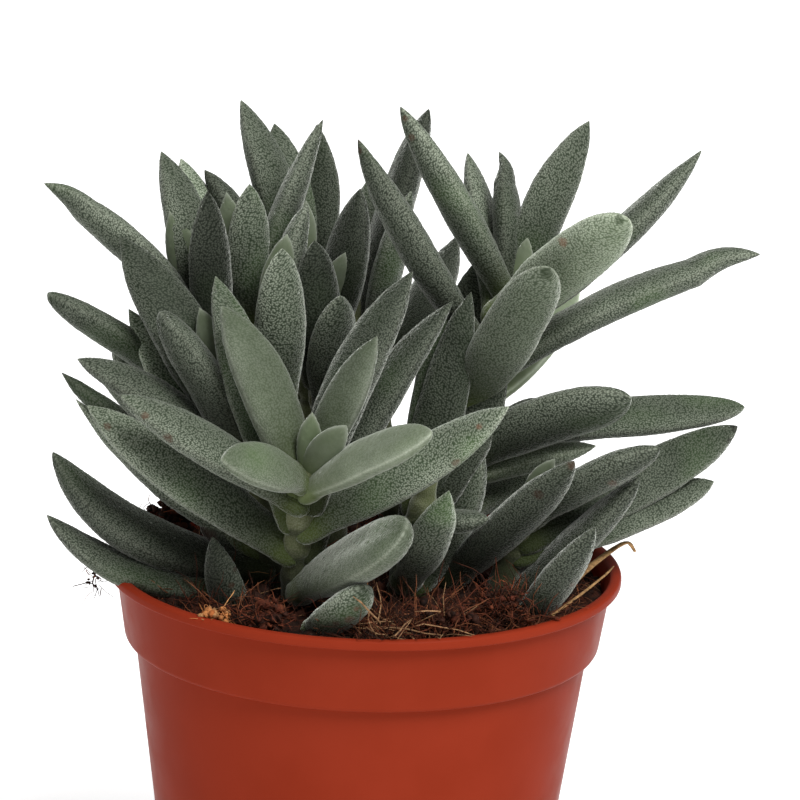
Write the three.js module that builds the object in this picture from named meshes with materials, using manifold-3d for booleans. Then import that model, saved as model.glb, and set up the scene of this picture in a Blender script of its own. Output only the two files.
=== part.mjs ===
// A potted crassula: a clump of short upright shoots with opposite pairs of thick,
// pointed leaves, growing in potting soil in a tapered plastic nursery pot.
// Millimetres, +Z up. The origin is the centre of the pot's flat underside.
// -Y is the front, the side that the pot is usually seen from.

import * as THREE from 'three';
import { mergeVertices } from 'three/addons/utils/BufferGeometryUtils.js';
import Module from 'manifold-3d';

const wasm = await Module();
wasm.setup();

// ---------------------------------------------------------------- driving dimensions

const CLEARANCE = 0.3;          // gap kept between pieces that touch

const POT_HEIGHT = 72;
const LIP_RADIUS = 42.5;        // outside of the rolled lip: an 85 mm pot
const LIP_HEIGHT = 1.8;
const BAND_TOP_RADIUS = 40.9;   // collar below the lip
const BAND_BOTTOM_RADIUS = 39.3;
const BAND_HEIGHT = 13.1;       // lip top to the collar's lower edge
const BODY_TOP_RADIUS = 37.6;
const BASE_RADIUS = 29.8;
const WALL = 1.2;
const FLOOR = 1.6;
const CORNER = 1.2;             // rounding of the collar's and the base's lower edge
const DRAIN_COUNT = 4;
const DRAIN_RADIUS = 3;
const DRAIN_RING_RADIUS = 19;
const DRAIN_SEGMENTS = 12;
const LIP_CORNER = 0.3;         // cut off the lip's outer corners
const LIP_FLARE = 0.8;          // height in which the lip reaches its full radius
const LIP_TOP = 0.9;            // outer end of the lip's flat top, from its outer edge
const LIP_WIDTH = 1.5;
const POT_SEGMENTS = 40;

const SOIL_TOP = 69.5;          // level of the middle of the soil
const SOIL_EDGE = 68.2;         // level of the soil at the wall
const SOIL_FLAT_RADIUS = 33;
const SOIL_SEGMENTS = 40;

const STEM_RADIUS = 2.3;        // at the soil
const STEM_TAPER = 0.45;        // share of the radius that is lost towards the growing tip
const STEM_SIDES = 8;
const STEM_STEPS = 8;
const STEM_ROOT = 4;            // length of path below the soil, cut off level with it

const LEAF_SIDES = 8;
const LEAF_RINGS = 10;
const SMOOTHING = 0.04;         // how far a cut face may be evened out
const LEAF_THICKNESS = 0.62;    // thickest part of a blade, as a share of its width
const UPPER_SHARE = 0.38;       // share of the thickness above the margin: the flatter side
const WIDEST_AT = 0.42;         // place of the widest part along the blade
const BASE_SHARE = 0.6;         // width at the base, as a share of the widest
const DEPTH_POWER = 0.85;       // how the thickness follows the width towards the ends
// The outline falls to the tip as (1 - u^FALL)^ROUNDING, u from 0 at the widest part to 1;
// bluntness changes both powers.
const FALL = 2.1;
const BLUNT_FALL = 2;
const ROUNDING = 1;
const BLUNT_ROUNDING = 0.45;

const SHOOT_LEAF_WIDTH = 1;     // a small new leaf's width: this, and a share of its length
const SHOOT_LEAF_SHARE = 0.3;
const SHOOT_LEAF_DEPTH = 1;     // how far below the growing tip it starts
const SHOOT_LEAF_FACING = [0, -1, 0.3];

// ---------------------------------------------------------------- shoots
// Each shoot's stem goes through these points, from the soil to its growing tip.
// young: the tips of the small new leaves that stand in the shoot's middle.

const SHOOTS = {
  front: {
    path: [[-11, -15, 69.5], [-10.9, -18, 76], [-10.7, -20, 81], [-10.2, -23, 88.5], [-9.5, -25, 95]],
    young: [[-9, -26.5, 104], [-3.5, -32, 103.5]],
  },
  left_low: {
    path: [[-15, -8, 69.5], [-17, -8, 81], [-19, -9, 93], [-21.5, -9, 101]],
    young: [[-28, -7, 115.5]],
  },
  left: {
    path: [[-20, 3, 69.5], [-24, 6, 88], [-27, 7, 104], [-28, 8, 113]],
    young: [[-34, 8, 128]],
  },
  left_back: {
    path: [[-17, 14, 69.5], [-19.5, 14, 90], [-21.5, 14, 106], [-22.2, 14, 115]],
    young: [[-25, 13, 130.5]],
  },
  centre: {
    path: [[-13.5, 1, 69.5], [-15, 1, 90], [-16, 1.5, 102], [-17.2, 2, 112]],
    young: [[-14.5, 3, 126]],
  },
  back: {
    path: [[-9, 20, 69.5], [-10, 20, 94], [-11.5, 20, 108], [-12.5, 20, 118]],
    young: [[-12, 21, 128]],
  },
  back_right: {
    path: [[5, 24, 69.5], [1.5, 24, 90], [-2, 24, 104], [-4, 24, 112]],
    young: [[-3, 25, 122]],
  },
  middle: {
    path: [[6, -9, 69.5], [7.5, -11, 78], [9, -12, 85], [10, -12, 92]],
    young: [[12, -12, 98]],
  },
  right: {
    path: [[13, -5, 69.5], [14, -4, 88], [15.5, -3, 100], [19, -1, 111], [23.5, 1, 120]],
    young: [[24.5, 3, 127]],
  },
  right_low: {
    path: [[22, -9, 69.5], [23.5, -10, 76], [25, -10, 82], [26, -10, 88]],
    young: [[30, -12, 94]],
  },
};

// ---------------------------------------------------------------- leaves
// [shoot, height of its foot on the stem, tip, width, bow, turn, bluntness]
// bow: how far the blade sags below the straight line from foot to tip (negative arches up).
// turn: degrees that the blade is rolled about its length.
// bluntness: 0 for a sharp tip, 1 for a rounded one.
// Leaves that touch are listed with the whole one first: the later one gives way.

const LEAVES = [
  ['front', 93.5, [-22.5, -40, 99.5], 8, -2, 30, 0.2],
  ['front', 93.5, [1, -15, 114], 7.5, -2, 15, 0.2],
  ['front', 92.5, [-24, -16, 118], 9.5, -4, 0, 0.3],
  ['front', 92.5, [9.5, -42, 105.5], 8, -2, -30, 0.6],
  ['front', 89.5, [-39, -28, 106], 8.5, -1, 5, 0.2],
  ['front', 89.5, [6, -8, 123], 9.5, -5, 25, 0.2],
  ['front', 85.5, [-25.5, -8, 121], 9, 0, 0, 0.2],
  ['front', 85, [21.5, -30, 107], 8.5, 2, -25, 0.2],
  ['front', 80, [-44.5, -22, 102.5], 8.5, 1, 25, 0.3],
  ['front', 80, [12.5, -11, 119], 9, -6, 25, 0.2],
  ['front', 75, [6, -44, 90.5], 10.5, 0, -30, 1],
  ['left_low', 95, [-34, -13, 116], 10.5, -3, 15, 0.45],
  ['left_low', 96, [-41.5, 1, 125], 10, -3, 20, 0.2],
  ['left_low', 90, [-47, -12, 107.5], 8, -5, 15, 0.3],
  ['left_low', 84, [-45, -7, 106.5], 8, -2, 20, 0.4],
  ['left_low', 73.5, [-50.5, -14, 92.5], 11, 9, 15, 0.3],
  ['left', 110, [-54, 2, 133], 8.5, -5, -8, 0.2],
  ['left', 98, [-53, 0, 115.3], 8.5, -2, 0, 0.7],
  ['left', 111, [-36, 15, 136.5], 8.5, -5, 0, 0.2],
  ['left', 104, [-27.5, 1, 133], 7.5, -1, 0, 0.2],
  ['left_back', 110, [-21, 8, 133], 7.5, 0, 0, 0.2],
  ['left_back', 111, [-9.5, 13, 143.2], 8, -2, 0, 0],
  ['left_back', 92, [-30, 36, 108], 9, 2, 0, 0.2],
  ['centre', 99, [-15, -6, 125.5], 8.5, 0, 0, 0.3],
  ['centre', 106, [-11.5, 8, 130], 8.5, -4, 25, 0.2],
  ['back', 114, [-23.5, 25, 143.8], 9, -4, 0, 0.2],
  ['back', 96, [-12, 42, 112], 9, 2, 0, 0.2],
  ['back_right', 107, [8, 29, 142.8], 9.5, -3, 0, 0.3],
  ['back_right', 98, [14, 44, 118], 9, 2, 0, 0.2],
  ['back_right', 84, [24, 40, 98], 9, 3, 0, 0.2],
  ['middle', 71, [18, -9, 94.5], 9, 2, 0, 0.2],
  ['middle', 74, [12.8, -28, 92.5], 7, 2, 0, 0.2],
  ['right', 118, [3, -4, 148.8], 8.5, -1, 0, 0.2],
  ['right', 110, [-3.5, -8, 144], 8.5, 1, 0, 0.2],
  ['right', 118, [34, 11, 145], 8.2, 1, 0, 0.2],
  ['right', 115, [39, -20, 135.3], 9.5, -2, 10, 0.8],
  ['right', 114, [52.5, 10, 141], 8, 2, 0, 0.2],
  ['right', 102, [27, -22, 127.5], 9.5, 0, 0, 0.9],
  ['right', 106, [62.5, 4, 125.3], 8.5, -6, -10, 0.4],
  ['right', 93, [41.5, -14, 105], 10.5, -3, 30, 0.7],
  ['right', 96, [62, 8, 98.5], 8, -1, -30, 0.7],
  ['right', 73, [32.5, -22, 96.4], 9.5, 0, 0, 0.4],
  ['right', 82, [36, 28, 90], 8.5, 2, 0, 0.2],
  ['right_low', 85, [46, -20, 98.5], 8.5, -2, 10, 0.5],
  ['right_low', 81, [60.5, 3, 96.5], 9, 2, -30, 0.5],
  ['right_low', 78.5, [57, 1, 87.5], 8, 0, -30, 0.4],
];

// A leaf of a shoot that is still under the soil: [foot, tip, width, bow, turn, bluntness].
const SOIL_LEAVES = {
  low_leaf_1: [[-7, -29, 70], [0, -38, 79.5], 8, 1, 0, 0.6],
  low_leaf_2: [[-24, -14, 70.5], [-51.3, -14, 82], 7.5, 6, 10, 0.2],
};

// ---------------------------------------------------------------- materials

function finish(color, roughness) {
  return new THREE.MeshStandardMaterial({ color, roughness, metalness: 0 });
}

const potPlastic = () => finish(0xa23c2a, 0.35);
const soilCrumb = () => finish(0x3a2318, 0.95);
const stemSkin = () => finish(0x8a9470, 0.8);
const leafSkin = () => finish(0x5f7058, 0.85);

// ---------------------------------------------------------------- solids

const vector = ([x, y, z]) => new THREE.Vector3(x, y, z);

// A closed three.js geometry as a solid that can be joined and cut.
function toSolid(geometry) {
  geometry.deleteAttribute('normal');
  geometry.deleteAttribute('uv');
  const merged = mergeVertices(geometry, 1e-4);
  return new wasm.Manifold(new wasm.Mesh({
    numProp: 3,
    vertProperties: new Float32Array(merged.attributes.position.array),
    triVerts: new Uint32Array(merged.index.array),
  }));
}

function toGeometry(solid) {
  const mesh = solid.getMesh();
  const geometry = new THREE.BufferGeometry();
  geometry.setAttribute('position', new THREE.BufferAttribute(mesh.vertProperties.slice(), 3));
  geometry.setIndex(new THREE.BufferAttribute(mesh.triVerts.slice(), 1));
  geometry.computeVertexNormals();
  return geometry;
}

// A turned solid about Z: the profile is [radius, height] points, from axis to axis.
function turned(profile, segments) {
  const points = profile.map(([radius, height]) => new THREE.Vector2(radius, height));
  return toSolid(new THREE.LatheGeometry(points, segments).rotateX(Math.PI / 2));
}

// The largest body of a cut piece: a cut may leave a crumb beside it.
function largestBody(solid) {
  const bodies = solid.decompose();
  const largest = bodies.reduce((best, body) => (body.volume() > best.volume() ? body : best));
  return largest.simplify(SMOOTHING);
}

// ---------------------------------------------------------------- pot and soil

// Radius of the pot's outer wall, or of its inner wall, at the foot of the collar and below.
function bodyRadius(height) {
  const share = height / (POT_HEIGHT - BAND_HEIGHT);
  return THREE.MathUtils.lerp(BASE_RADIUS, BODY_TOP_RADIUS, share);
}

function makePot() {
  const collarFoot = POT_HEIGHT - BAND_HEIGHT;
  const lipFoot = POT_HEIGHT - LIP_HEIGHT;
  const outside = [
    [0, 0],
    [BASE_RADIUS - CORNER, 0],
    [BASE_RADIUS, CORNER],
    [BODY_TOP_RADIUS, collarFoot + CORNER / 2],
    [BAND_BOTTOM_RADIUS - CORNER / 2, collarFoot],
    [BAND_BOTTOM_RADIUS, collarFoot + CORNER],
    [BAND_TOP_RADIUS, lipFoot],
    [LIP_RADIUS - LIP_CORNER, lipFoot + LIP_FLARE / 4],
    [LIP_RADIUS, lipFoot + LIP_FLARE],
    [LIP_RADIUS - LIP_CORNER, POT_HEIGHT - LIP_CORNER],
    [LIP_RADIUS - LIP_TOP, POT_HEIGHT],
  ];
  const inside = [
    [LIP_RADIUS - LIP_WIDTH, POT_HEIGHT - LIP_CORNER],
    [BAND_TOP_RADIUS - WALL, lipFoot - LIP_CORNER],
    [BAND_BOTTOM_RADIUS - WALL, collarFoot + CORNER],
    [bodyRadius(collarFoot) - WALL, collarFoot - CORNER],
    [bodyRadius(FLOOR) - WALL, FLOOR],
    [0, FLOOR],
  ];
  let pot = turned([...outside, ...inside], POT_SEGMENTS);
  for (let i = 0; i < DRAIN_COUNT; i += 1) {
    const angle = (2 * Math.PI * (i + 0.5)) / DRAIN_COUNT;
    const drain = new THREE.CylinderGeometry(DRAIN_RADIUS, DRAIN_RADIUS, 3 * FLOOR, DRAIN_SEGMENTS);
    drain.rotateX(Math.PI / 2);
    drain.translate(DRAIN_RING_RADIUS * Math.cos(angle), DRAIN_RING_RADIUS * Math.sin(angle), FLOOR / 2);
    pot = pot.subtract(toSolid(drain));
  }
  return pot;
}

// The soil fills the pot. lift raises its top, to cut what stands on it.
function makeSoil(lift = 0) {
  const collarFoot = POT_HEIGHT - BAND_HEIGHT;
  const gap = WALL + CLEARANCE;
  return turned([
    [0, FLOOR + CLEARANCE],
    [bodyRadius(FLOOR) - gap, FLOOR + CLEARANCE],
    [bodyRadius(collarFoot) - gap, collarFoot - CORNER],
    [BAND_BOTTOM_RADIUS - gap, collarFoot + CORNER + CLEARANCE],
    [BAND_TOP_RADIUS - gap - CLEARANCE, SOIL_EDGE + lift],
    [SOIL_FLAT_RADIUS, SOIL_TOP + lift],
    [0, SOIL_TOP + lift],
  ], SOIL_SEGMENTS);
}

// The space that the upper end of the pot's wall takes, to cut what lies across the rim.
function makeRimSpace() {
  const outside = LIP_RADIUS + CLEARANCE;
  const inside = BAND_BOTTOM_RADIUS - WALL - CLEARANCE;
  const foot = POT_HEIGHT - BAND_HEIGHT;
  const top = POT_HEIGHT + CLEARANCE;
  return turned([[inside, foot], [outside, foot], [outside, top], [inside, top], [inside, foot]], POT_SEGMENTS);
}

// ---------------------------------------------------------------- stems and leaves

// A stem's centre line and its direction at a given height.
function stemAt(path, height) {
  let i = 1;
  while (i < path.length - 1 && path[i][2] < height) i += 1;
  const low = vector(path[i - 1]);
  const high = vector(path[i]);
  const share = (height - low.z) / (high.z - low.z);
  return { point: low.clone().lerp(high, share), along: high.sub(low).normalize() };
}

// A stem keeps its radius for most of its height and narrows near the growing tip.
function stemRadius(path, height) {
  const foot = path[0][2];
  const top = path[path.length - 1][2];
  const share = THREE.MathUtils.clamp((height - foot) / (top - foot), 0, 1);
  return STEM_RADIUS * (1 - STEM_TAPER * share ** 3);
}

// Half the blade's width, as a share of the widest, at s along it: 0 is the foot, 1 the tip.
function outline(s, bluntness) {
  if (s < WIDEST_AT) {
    return BASE_SHARE + (1 - BASE_SHARE) * Math.sin((Math.PI / 2) * (s / WIDEST_AT));
  }
  const u = (s - WIDEST_AT) / (1 - WIDEST_AT);
  return (1 - u ** (FALL + BLUNT_FALL * bluntness)) ** (ROUNDING - BLUNT_ROUNDING * bluntness);
}

// A thick pointed blade along a bent line. growing is the direction that its upper side faces.
// It is a sphere whose rings are laid along that line: flatter above the margin, rounder below.
function makeBlade({ foot, tip, growing, width, bow, turn, bluntness }, grow = 0) {
  const length = tip.clone().sub(foot).normalize();
  const up = growing.clone().addScaledVector(length, -growing.dot(length)).normalize();
  up.applyAxisAngle(length, THREE.MathUtils.degToRad(-turn));
  const middle = foot.clone().add(tip).multiplyScalar(0.5).addScaledVector(up, -bow);
  const spine = new THREE.QuadraticBezierCurve3(foot, middle, tip);
  const blade = new THREE.SphereGeometry(1, LEAF_SIDES, LEAF_RINGS);
  const position = blade.attributes.position;
  const unit = new THREE.Vector3();
  for (let i = 0; i < position.count; i += 1) {
    unit.fromBufferAttribute(position, i);
    const ring = Math.round((Math.acos(-THREE.MathUtils.clamp(unit.y, -1, 1)) / Math.PI) * LEAF_RINGS);
    const s = Math.max(0, (ring - 1) / (LEAF_RINGS - 1));
    const pole = ring === 0 || ring === LEAF_RINGS;
    const around = Math.atan2(unit.z, unit.x);
    const share = pole ? 0 : outline(s, bluntness);
    const along = spine.getTangent(s);
    const above = up.clone().addScaledVector(along, -up.dot(along)).normalize();
    const across = new THREE.Vector3().crossVectors(along, above);
    const side = pole ? 0 : Math.cos(around) * ((width / 2) * share + grow);
    const rise = Math.sin(around) * (Math.sin(around) > 0 ? UPPER_SHARE : 1 - UPPER_SHARE);
    const depth = pole ? 0 : rise * (width * LEAF_THICKNESS * share ** DEPTH_POWER + 2 * grow);
    const place = spine.getPoint(s).addScaledVector(across, side).addScaledVector(above, depth);
    if (ring <= 1) place.addScaledVector(along, -grow);
    if (ring === LEAF_RINGS) place.addScaledVector(along, 2 * grow);
    position.setXYZ(i, place.x, place.y, place.z);
  }
  return toSolid(blade);
}

function leafOfShoot([shoot, height, tipPoint, width, bow, turn, bluntness]) {
  const { path } = SHOOTS[shoot];
  const { point, along } = stemAt(path, height);
  const tip = vector(tipPoint);
  const outward = tip.clone().sub(point);
  outward.addScaledVector(along, -outward.dot(along)).normalize();
  const foot = point.clone().addScaledVector(outward, stemRadius(path, height) + CLEARANCE);
  return { foot, tip, growing: along, width, bow, turn, bluntness };
}

// A stem with the young leaves of its growing tip, which are one piece with it.
// It is a cylinder whose rings are laid along the path and narrow towards the tip.
function makeStem({ path, young }, grow = 0) {
  const start = vector(path[0]).setZ(path[0][2] - STEM_ROOT);
  const line = new THREE.CatmullRomCurve3([start, ...path.map(vector)]);
  const cylinder = new THREE.CylinderGeometry(1, 1, 1, STEM_SIDES, STEM_STEPS);
  const position = cylinder.attributes.position;
  const unit = new THREE.Vector3();
  for (let i = 0; i < position.count; i += 1) {
    unit.fromBufferAttribute(position, i);
    const share = unit.y + 0.5;
    const centre = line.getPoint(share);
    const radius = stemRadius(path, centre.z) + grow;
    const cap = share === 1 ? grow : 0;
    position.setXYZ(i, centre.x + radius * unit.x, centre.y - radius * unit.z, centre.z + cap);
  }
  let stem = toSolid(cylinder);
  const top = vector(path[path.length - 1]);
  const { along } = stemAt(path, top.z);
  for (const youngTip of young) {
    const tip = vector(youngTip);
    const foot = top.clone().addScaledVector(along, -SHOOT_LEAF_DEPTH);
    const width = SHOOT_LEAF_SHARE * tip.distanceTo(foot) + SHOOT_LEAF_WIDTH;
    const growing = vector(SHOOT_LEAF_FACING);
    const blade = { foot, tip, growing, width, bow: 0, turn: 0, bluntness: 0 };
    stem = stem.add(makeBlade(blade, grow));
  }
  return stem;
}

// ---------------------------------------------------------------- the whole plant

const plant = new THREE.Group();

function place(name, solid, material) {
  const mesh = new THREE.Mesh(toGeometry(solid), material);
  mesh.name = name;
  plant.add(mesh);
}

place('pot', makePot(), potPlastic());
place('soil', makeSoil(), soilCrumb());

// What later pieces have to keep clear of, grown by the gap.
const taken = [makeSoil(CLEARANCE), makeRimSpace()];

// Cut a piece back from everything that it would touch.
function clearOfTaken(solid) {
  let piece = solid;
  for (const other of taken) {
    if (piece.intersect(other).volume() > 0) piece = largestBody(piece.subtract(other));
  }
  return piece;
}

for (const [name, shoot] of Object.entries(SHOOTS)) {
  place(`${name}_stem`, clearOfTaken(makeStem(shoot)), stemSkin());
  taken.push(makeStem(shoot, CLEARANCE));
}

function placeLeaf(name, blade) {
  place(name, clearOfTaken(makeBlade(blade)), leafSkin());
  taken.push(makeBlade(blade, CLEARANCE));
}

const counts = {};
for (const row of LEAVES) {
  const shoot = row[0];
  counts[shoot] = (counts[shoot] ?? 0) + 1;
  placeLeaf(`${shoot}_leaf_${counts[shoot]}`, leafOfShoot(row));
}

for (const [name, [foot, tip, width, bow, turn, bluntness]] of Object.entries(SOIL_LEAVES)) {
  const growing = new THREE.Vector3(0, 0, 1);
  placeLeaf(name, { foot: vector(foot), tip: vector(tip), growing, width, bow, turn, bluntness });
}

export default plant;
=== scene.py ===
"""A potted crassula: shoots of thick, downy grey-green leaves in a tapered plastic nursery pot.

Shapes are worked out in millimetres and go into the meshes in metres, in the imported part's frame:
+Z up, the origin at the centre of the pot's underside, -Y the front.
"""

import math

import bpy
import numpy as np
from mathutils import Matrix, Vector


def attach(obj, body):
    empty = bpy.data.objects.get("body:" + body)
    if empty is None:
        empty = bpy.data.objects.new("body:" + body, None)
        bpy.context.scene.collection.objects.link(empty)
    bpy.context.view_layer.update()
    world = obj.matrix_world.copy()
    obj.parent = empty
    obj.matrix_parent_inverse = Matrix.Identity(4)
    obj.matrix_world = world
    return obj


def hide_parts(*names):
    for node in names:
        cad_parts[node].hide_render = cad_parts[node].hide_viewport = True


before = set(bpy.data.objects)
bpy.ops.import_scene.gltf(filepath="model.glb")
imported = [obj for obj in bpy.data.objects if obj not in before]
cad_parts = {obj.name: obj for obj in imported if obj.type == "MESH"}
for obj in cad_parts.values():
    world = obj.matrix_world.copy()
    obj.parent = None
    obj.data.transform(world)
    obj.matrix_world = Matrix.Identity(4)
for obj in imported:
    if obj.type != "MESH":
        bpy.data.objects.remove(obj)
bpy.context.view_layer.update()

MM = 0.001

# ---------------------------------------------------------------- sizes shared with the part, in mm

POT_HEIGHT = 72
LIP_RADIUS = 42.5
LIP_HEIGHT = 1.8
LIP_LEVEL = POT_HEIGHT - LIP_HEIGHT
BAND_TOP_RADIUS = 40.9
BAND_BOTTOM_RADIUS = 39.3
BAND_HEIGHT = 13.1
COLLAR_LEVEL = POT_HEIGHT - BAND_HEIGHT
BODY_TOP_RADIUS = 37.6
BASE_RADIUS = 29.8
WALL = 1.2
MOUTH_RADIUS = BAND_TOP_RADIUS - WALL
FLOOR = 1.6
CORNER = 1.2
DRAIN_COUNT = 4
DRAIN_RADIUS = 3
DRAIN_RING_RADIUS = 19

SOIL_TOP = 69.5
SOIL_EDGE = 68.2
SOIL_FLAT_RADIUS = 33

STEM_RADIUS = 2.3
STEM_TAPER = 0.45           # share of the radius that is gone at the tip
LEAF_THICKNESS = 0.62       # as a share of the leaf's width
UPPER_SHARE = 0.38          # share of the thickness that lies above the margin
WIDEST_AT = 0.42            # share of the way from foot to tip
BASE_SHARE = 0.6            # width at the foot, as a share of the widest
FOOT_GAP = 0.3

# Each shoot's stem from the soil to its growing tip, and the tips of its small new leaves.
SHOOTS = {
    "front": ([(-11, -15, 69.5), (-10.9, -18, 76), (-10.7, -20, 81), (-10.2, -23, 88.5), (-9.5, -25, 95)],
              [(-9, -26.5, 104), (-3.5, -32, 103.5)]),
    "left_low": ([(-15, -8, 69.5), (-17, -8, 81), (-19, -9, 93), (-21.5, -9, 101)], [(-28, -7, 115.5)]),
    "left": ([(-20, 3, 69.5), (-24, 6, 88), (-27, 7, 104), (-28, 8, 113)], [(-34, 8, 128)]),
    "left_back": ([(-17, 14, 69.5), (-19.5, 14, 90), (-21.5, 14, 106), (-22.2, 14, 115)], [(-25, 13, 130.5)]),
    "centre": ([(-13.5, 1, 69.5), (-15, 1, 90), (-16, 1.5, 102), (-17.2, 2, 112)], [(-14.5, 3, 126)]),
    "back": ([(-9, 20, 69.5), (-10, 20, 94), (-11.5, 20, 108), (-12.5, 20, 118)], [(-12, 21, 128)]),
    "back_right": ([(5, 24, 69.5), (1.5, 24, 90), (-2, 24, 104), (-4, 24, 112)], [(-3, 25, 122)]),
    "middle": ([(6, -9, 69.5), (7.5, -11, 78), (9, -12, 85), (10, -12, 92)], [(12, -12, 98)]),
    "right": ([(13, -5, 69.5), (14, -4, 88), (15.5, -3, 100), (19, -1, 111), (23.5, 1, 120)],
              [(24.5, 3, 127)]),
    "right_low": ([(22, -9, 69.5), (23.5, -10, 76), (25, -10, 82), (26, -10, 88)], [(30, -12, 94)]),
    "inner": ([(-5, 9, 69.5), (-7, 9, 92), (-9, 8, 102), (-10, 8, 110)], [(-5, 9, 122)]),
}

# (shoot, height of its foot on the stem, tip, width, bow, turn, bluntness)
# bow is the sag below the straight line from foot to tip, turn the roll about it in degrees,
# bluntness 0 for a sharp tip and 1 for a rounded one.
LEAVES = [
    ("front", 93.5, (-22.5, -40, 99.5), 8, -2, 30, 0.2),
    ("front", 93.5, (0.7, -18.0, 114.5), 7.5, -2, 15, 0.2),
    ("front", 92.5, (-24, -16, 118), 9.5, -4, 0, 0.3),
    ("front", 92.5, (9.5, -42, 105.5), 8, -2, -30, 0.6),
    ("front", 89.5, (-39, -28, 106), 8.5, -1, 5, 0.2),
    ("front", 89.5, (6, -8, 123), 9.5, -5, 25, 0.2),
    ("front", 85.5, (-25.5, -8, 121), 9, 0, 0, 0.2),
    ("front", 85, (21.5, -30, 107), 8.5, 2, -25, 0.2),
    ("front", 80, (-44.5, -22, 102.5), 8.5, 1, 25, 0.3),
    ("front", 80, (12.5, -11, 119), 9, -6, 25, 0.2),
    ("front", 75, (6, -44, 90.5), 10.5, 0, -30, 1),
    ("left_low", 95, (-34, -13, 116), 10.5, -3, 15, 0.45),
    ("left_low", 96, (-41.5, 1, 125), 10, -3, 20, 0.2),
    ("left_low", 90, (-47, -12, 107.5), 8, -5, 15, 0.3),
    ("left_low", 84, (-45, -7, 106.5), 8, -2, 20, 0.4),
    ("left_low", 73.5, (-50.5, -14, 92.5), 11, 9, 15, 0.3),
    ("left", 110, (-54, 2, 133), 8.5, -5, -8, 0.2),
    ("left", 98, (-53, 0, 115.3), 8.5, -2, 0, 0.7),
    ("left", 111, (-36, 15, 136.5), 8.5, -5, 0, 0.2),
    ("left", 104, (-27.5, 1, 133), 7.5, -1, 0, 0.2),
    ("left_back", 110, (-21, 8, 133), 7.5, 0, 0, 0.2),
    ("left_back", 111, (-9.5, 13, 143.2), 8, -2, 0, 0),
    ("left_back", 92, (-30, 36, 108), 9, 2, 0, 0.2),
    ("centre", 99, (-15, -6, 125.5), 8.5, 0, 0, 0.3),
    ("centre", 106, (-11.5, 8, 130), 8.5, -4, 25, 0.2),
    ("back", 114, (-23.5, 25, 143.8), 9, -4, 0, 0.2),
    ("back", 96, (-12, 42, 112), 9, 2, 0, 0.2),
    ("back_right", 107, (8, 29, 142.8), 9.5, -3, 0, 0.3),
    ("back_right", 98, (14, 44, 118), 9, 2, 0, 0.2),
    ("back_right", 84, (24, 40, 98), 9, 3, 0, 0.2),
    ("middle", 71, (18, -9, 94.5), 9, 2, 0, 0.2),
    ("middle", 74, (12.8, -28, 92.5), 7, 2, 0, 0.2),
    ("right", 118, (3, -4, 148.8), 8.5, -1, 0, 0.2),
    ("right", 110, (-3.5, -8, 144), 8.5, 1, 0, 0.2),
    ("right", 118, (34, 11, 145), 8.2, 1, 0, 0.2),
    ("right", 115, (39, -20, 135.3), 9.5, -2, 10, 0.8),
    ("right", 114, (52.5, 10, 141), 8, 2, 0, 0.2),
    ("right", 102, (27, -22, 127.5), 9.5, 0, 0, 0.9),
    ("right", 106, (62.5, 4, 125.3), 8.5, -6, -10, 0.4),
    ("right", 93, (41.5, -14, 105), 10.5, -3, 30, 0.7),
    ("right", 96, (62, 8, 98.5), 8, -1, -30, 0.7),
    ("right", 73, (32.5, -22, 96.4), 9.5, 0, 0, 0.4),
    ("right", 82, (36, 28, 90), 8.5, 2, 0, 0.2),
    ("right_low", 85, (46, -20, 98.5), 8.5, -2, 10, 0.5),
    ("right_low", 81, (60.5, 3, 96.5), 9, 2, -30, 0.5),
    ("right_low", 78.5, (57, 1, 87.5), 8, 0, -30, 0.4),
]

# Leaves of shoots that are still under the soil: (foot, tip, width, bow, turn, bluntness)
SOIL_LEAVES = {
    "low_leaf_1": ((-7, -29, 70), (0, -38, 79.5), 8, 1, 0, 0.6),
    "low_leaf_2": ((-24, -14, 70.5), (-51.3, -14, 82), 7.5, 6, 10, 0.2),
}

# Leaves behind and between the others, which the part itself doesn't hold as solids.
MORE_LEAVES = [
    ("left_low", 84, (-40, 3, 112.5), 8, 0, 15, 0.2),
    ("left", 84, (-51, 5, 100.9), 7, 1, 0, 0),
    ("left_low", 77, (-48, -2, 98.3), 7, 2, 0, 0),
    ("left", 86, (-44, 20, 104), 8.5, 2, 0, 0.2),
    ("left_back", 111, (-33, 20, 134.5), 8, -1, 0, 0.2),
    ("back", 110, (-29, 20, 132.7), 8.5, -2, 0, 0.2),
    ("left_back", 100, (-34, 28, 118), 8.5, 1, 0, 0.2),
    ("back", 113, (-18, 32, 138.8), 8, -6, 0, 0.2),
    ("back", 112, (-10.7, 29, 139.5), 8.5, 2, 0, 0.2),
    ("inner", 103, (-10, 1, 125.5), 8, 0, 0, 0.2),
    ("inner", 97, (-5.5, -4, 117.6), 8.5, -2, 0, 0.3),
    ("inner", 106, (-3, 15, 131.5), 9.5, 0, 0, 0.2),
    ("middle", 84, (19.5, -19, 85.5), 6, 0, 0, 0),
    ("middle", 84, (21.5, -6, 108), 8, 1, 0, 0.2),
    ("middle", 86, (13.5, -3, 119.5), 9, 1, 0, 0.2),
    ("middle", 80, (15.5, -7, 119.8), 8, -3, 20, 0.2),
    ("right", 115, (14.5, 16, 138), 7, -2, 0, 0.2),
    ("right", 118, (19.5, 11, 139.3), 7, -3, 0, 0.2),
    ("back_right", 104, (5.5, 20, 130.5), 8, -2, 0, 0.2),
    ("right", 100, (16.5, 8, 121.5), 8, 0, 0, 0.2),
    ("right_low", 72, (43.5, -14, 92), 8.5, 1, 0, 0.3),
    ("back_right", 103, (-2, 40, 128), 8.5, 1, 0, 0.2),
    ("right", 100, (34.7, 26, 113.7), 8.5, 1, 0, 0.2),
    ("right", 88, (37.5, 4, 92), 6.5, -2, 0, 0.2),
    ("right", 90, (28, 8, 98.5), 8, 0, 0, 0.7),
]
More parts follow.
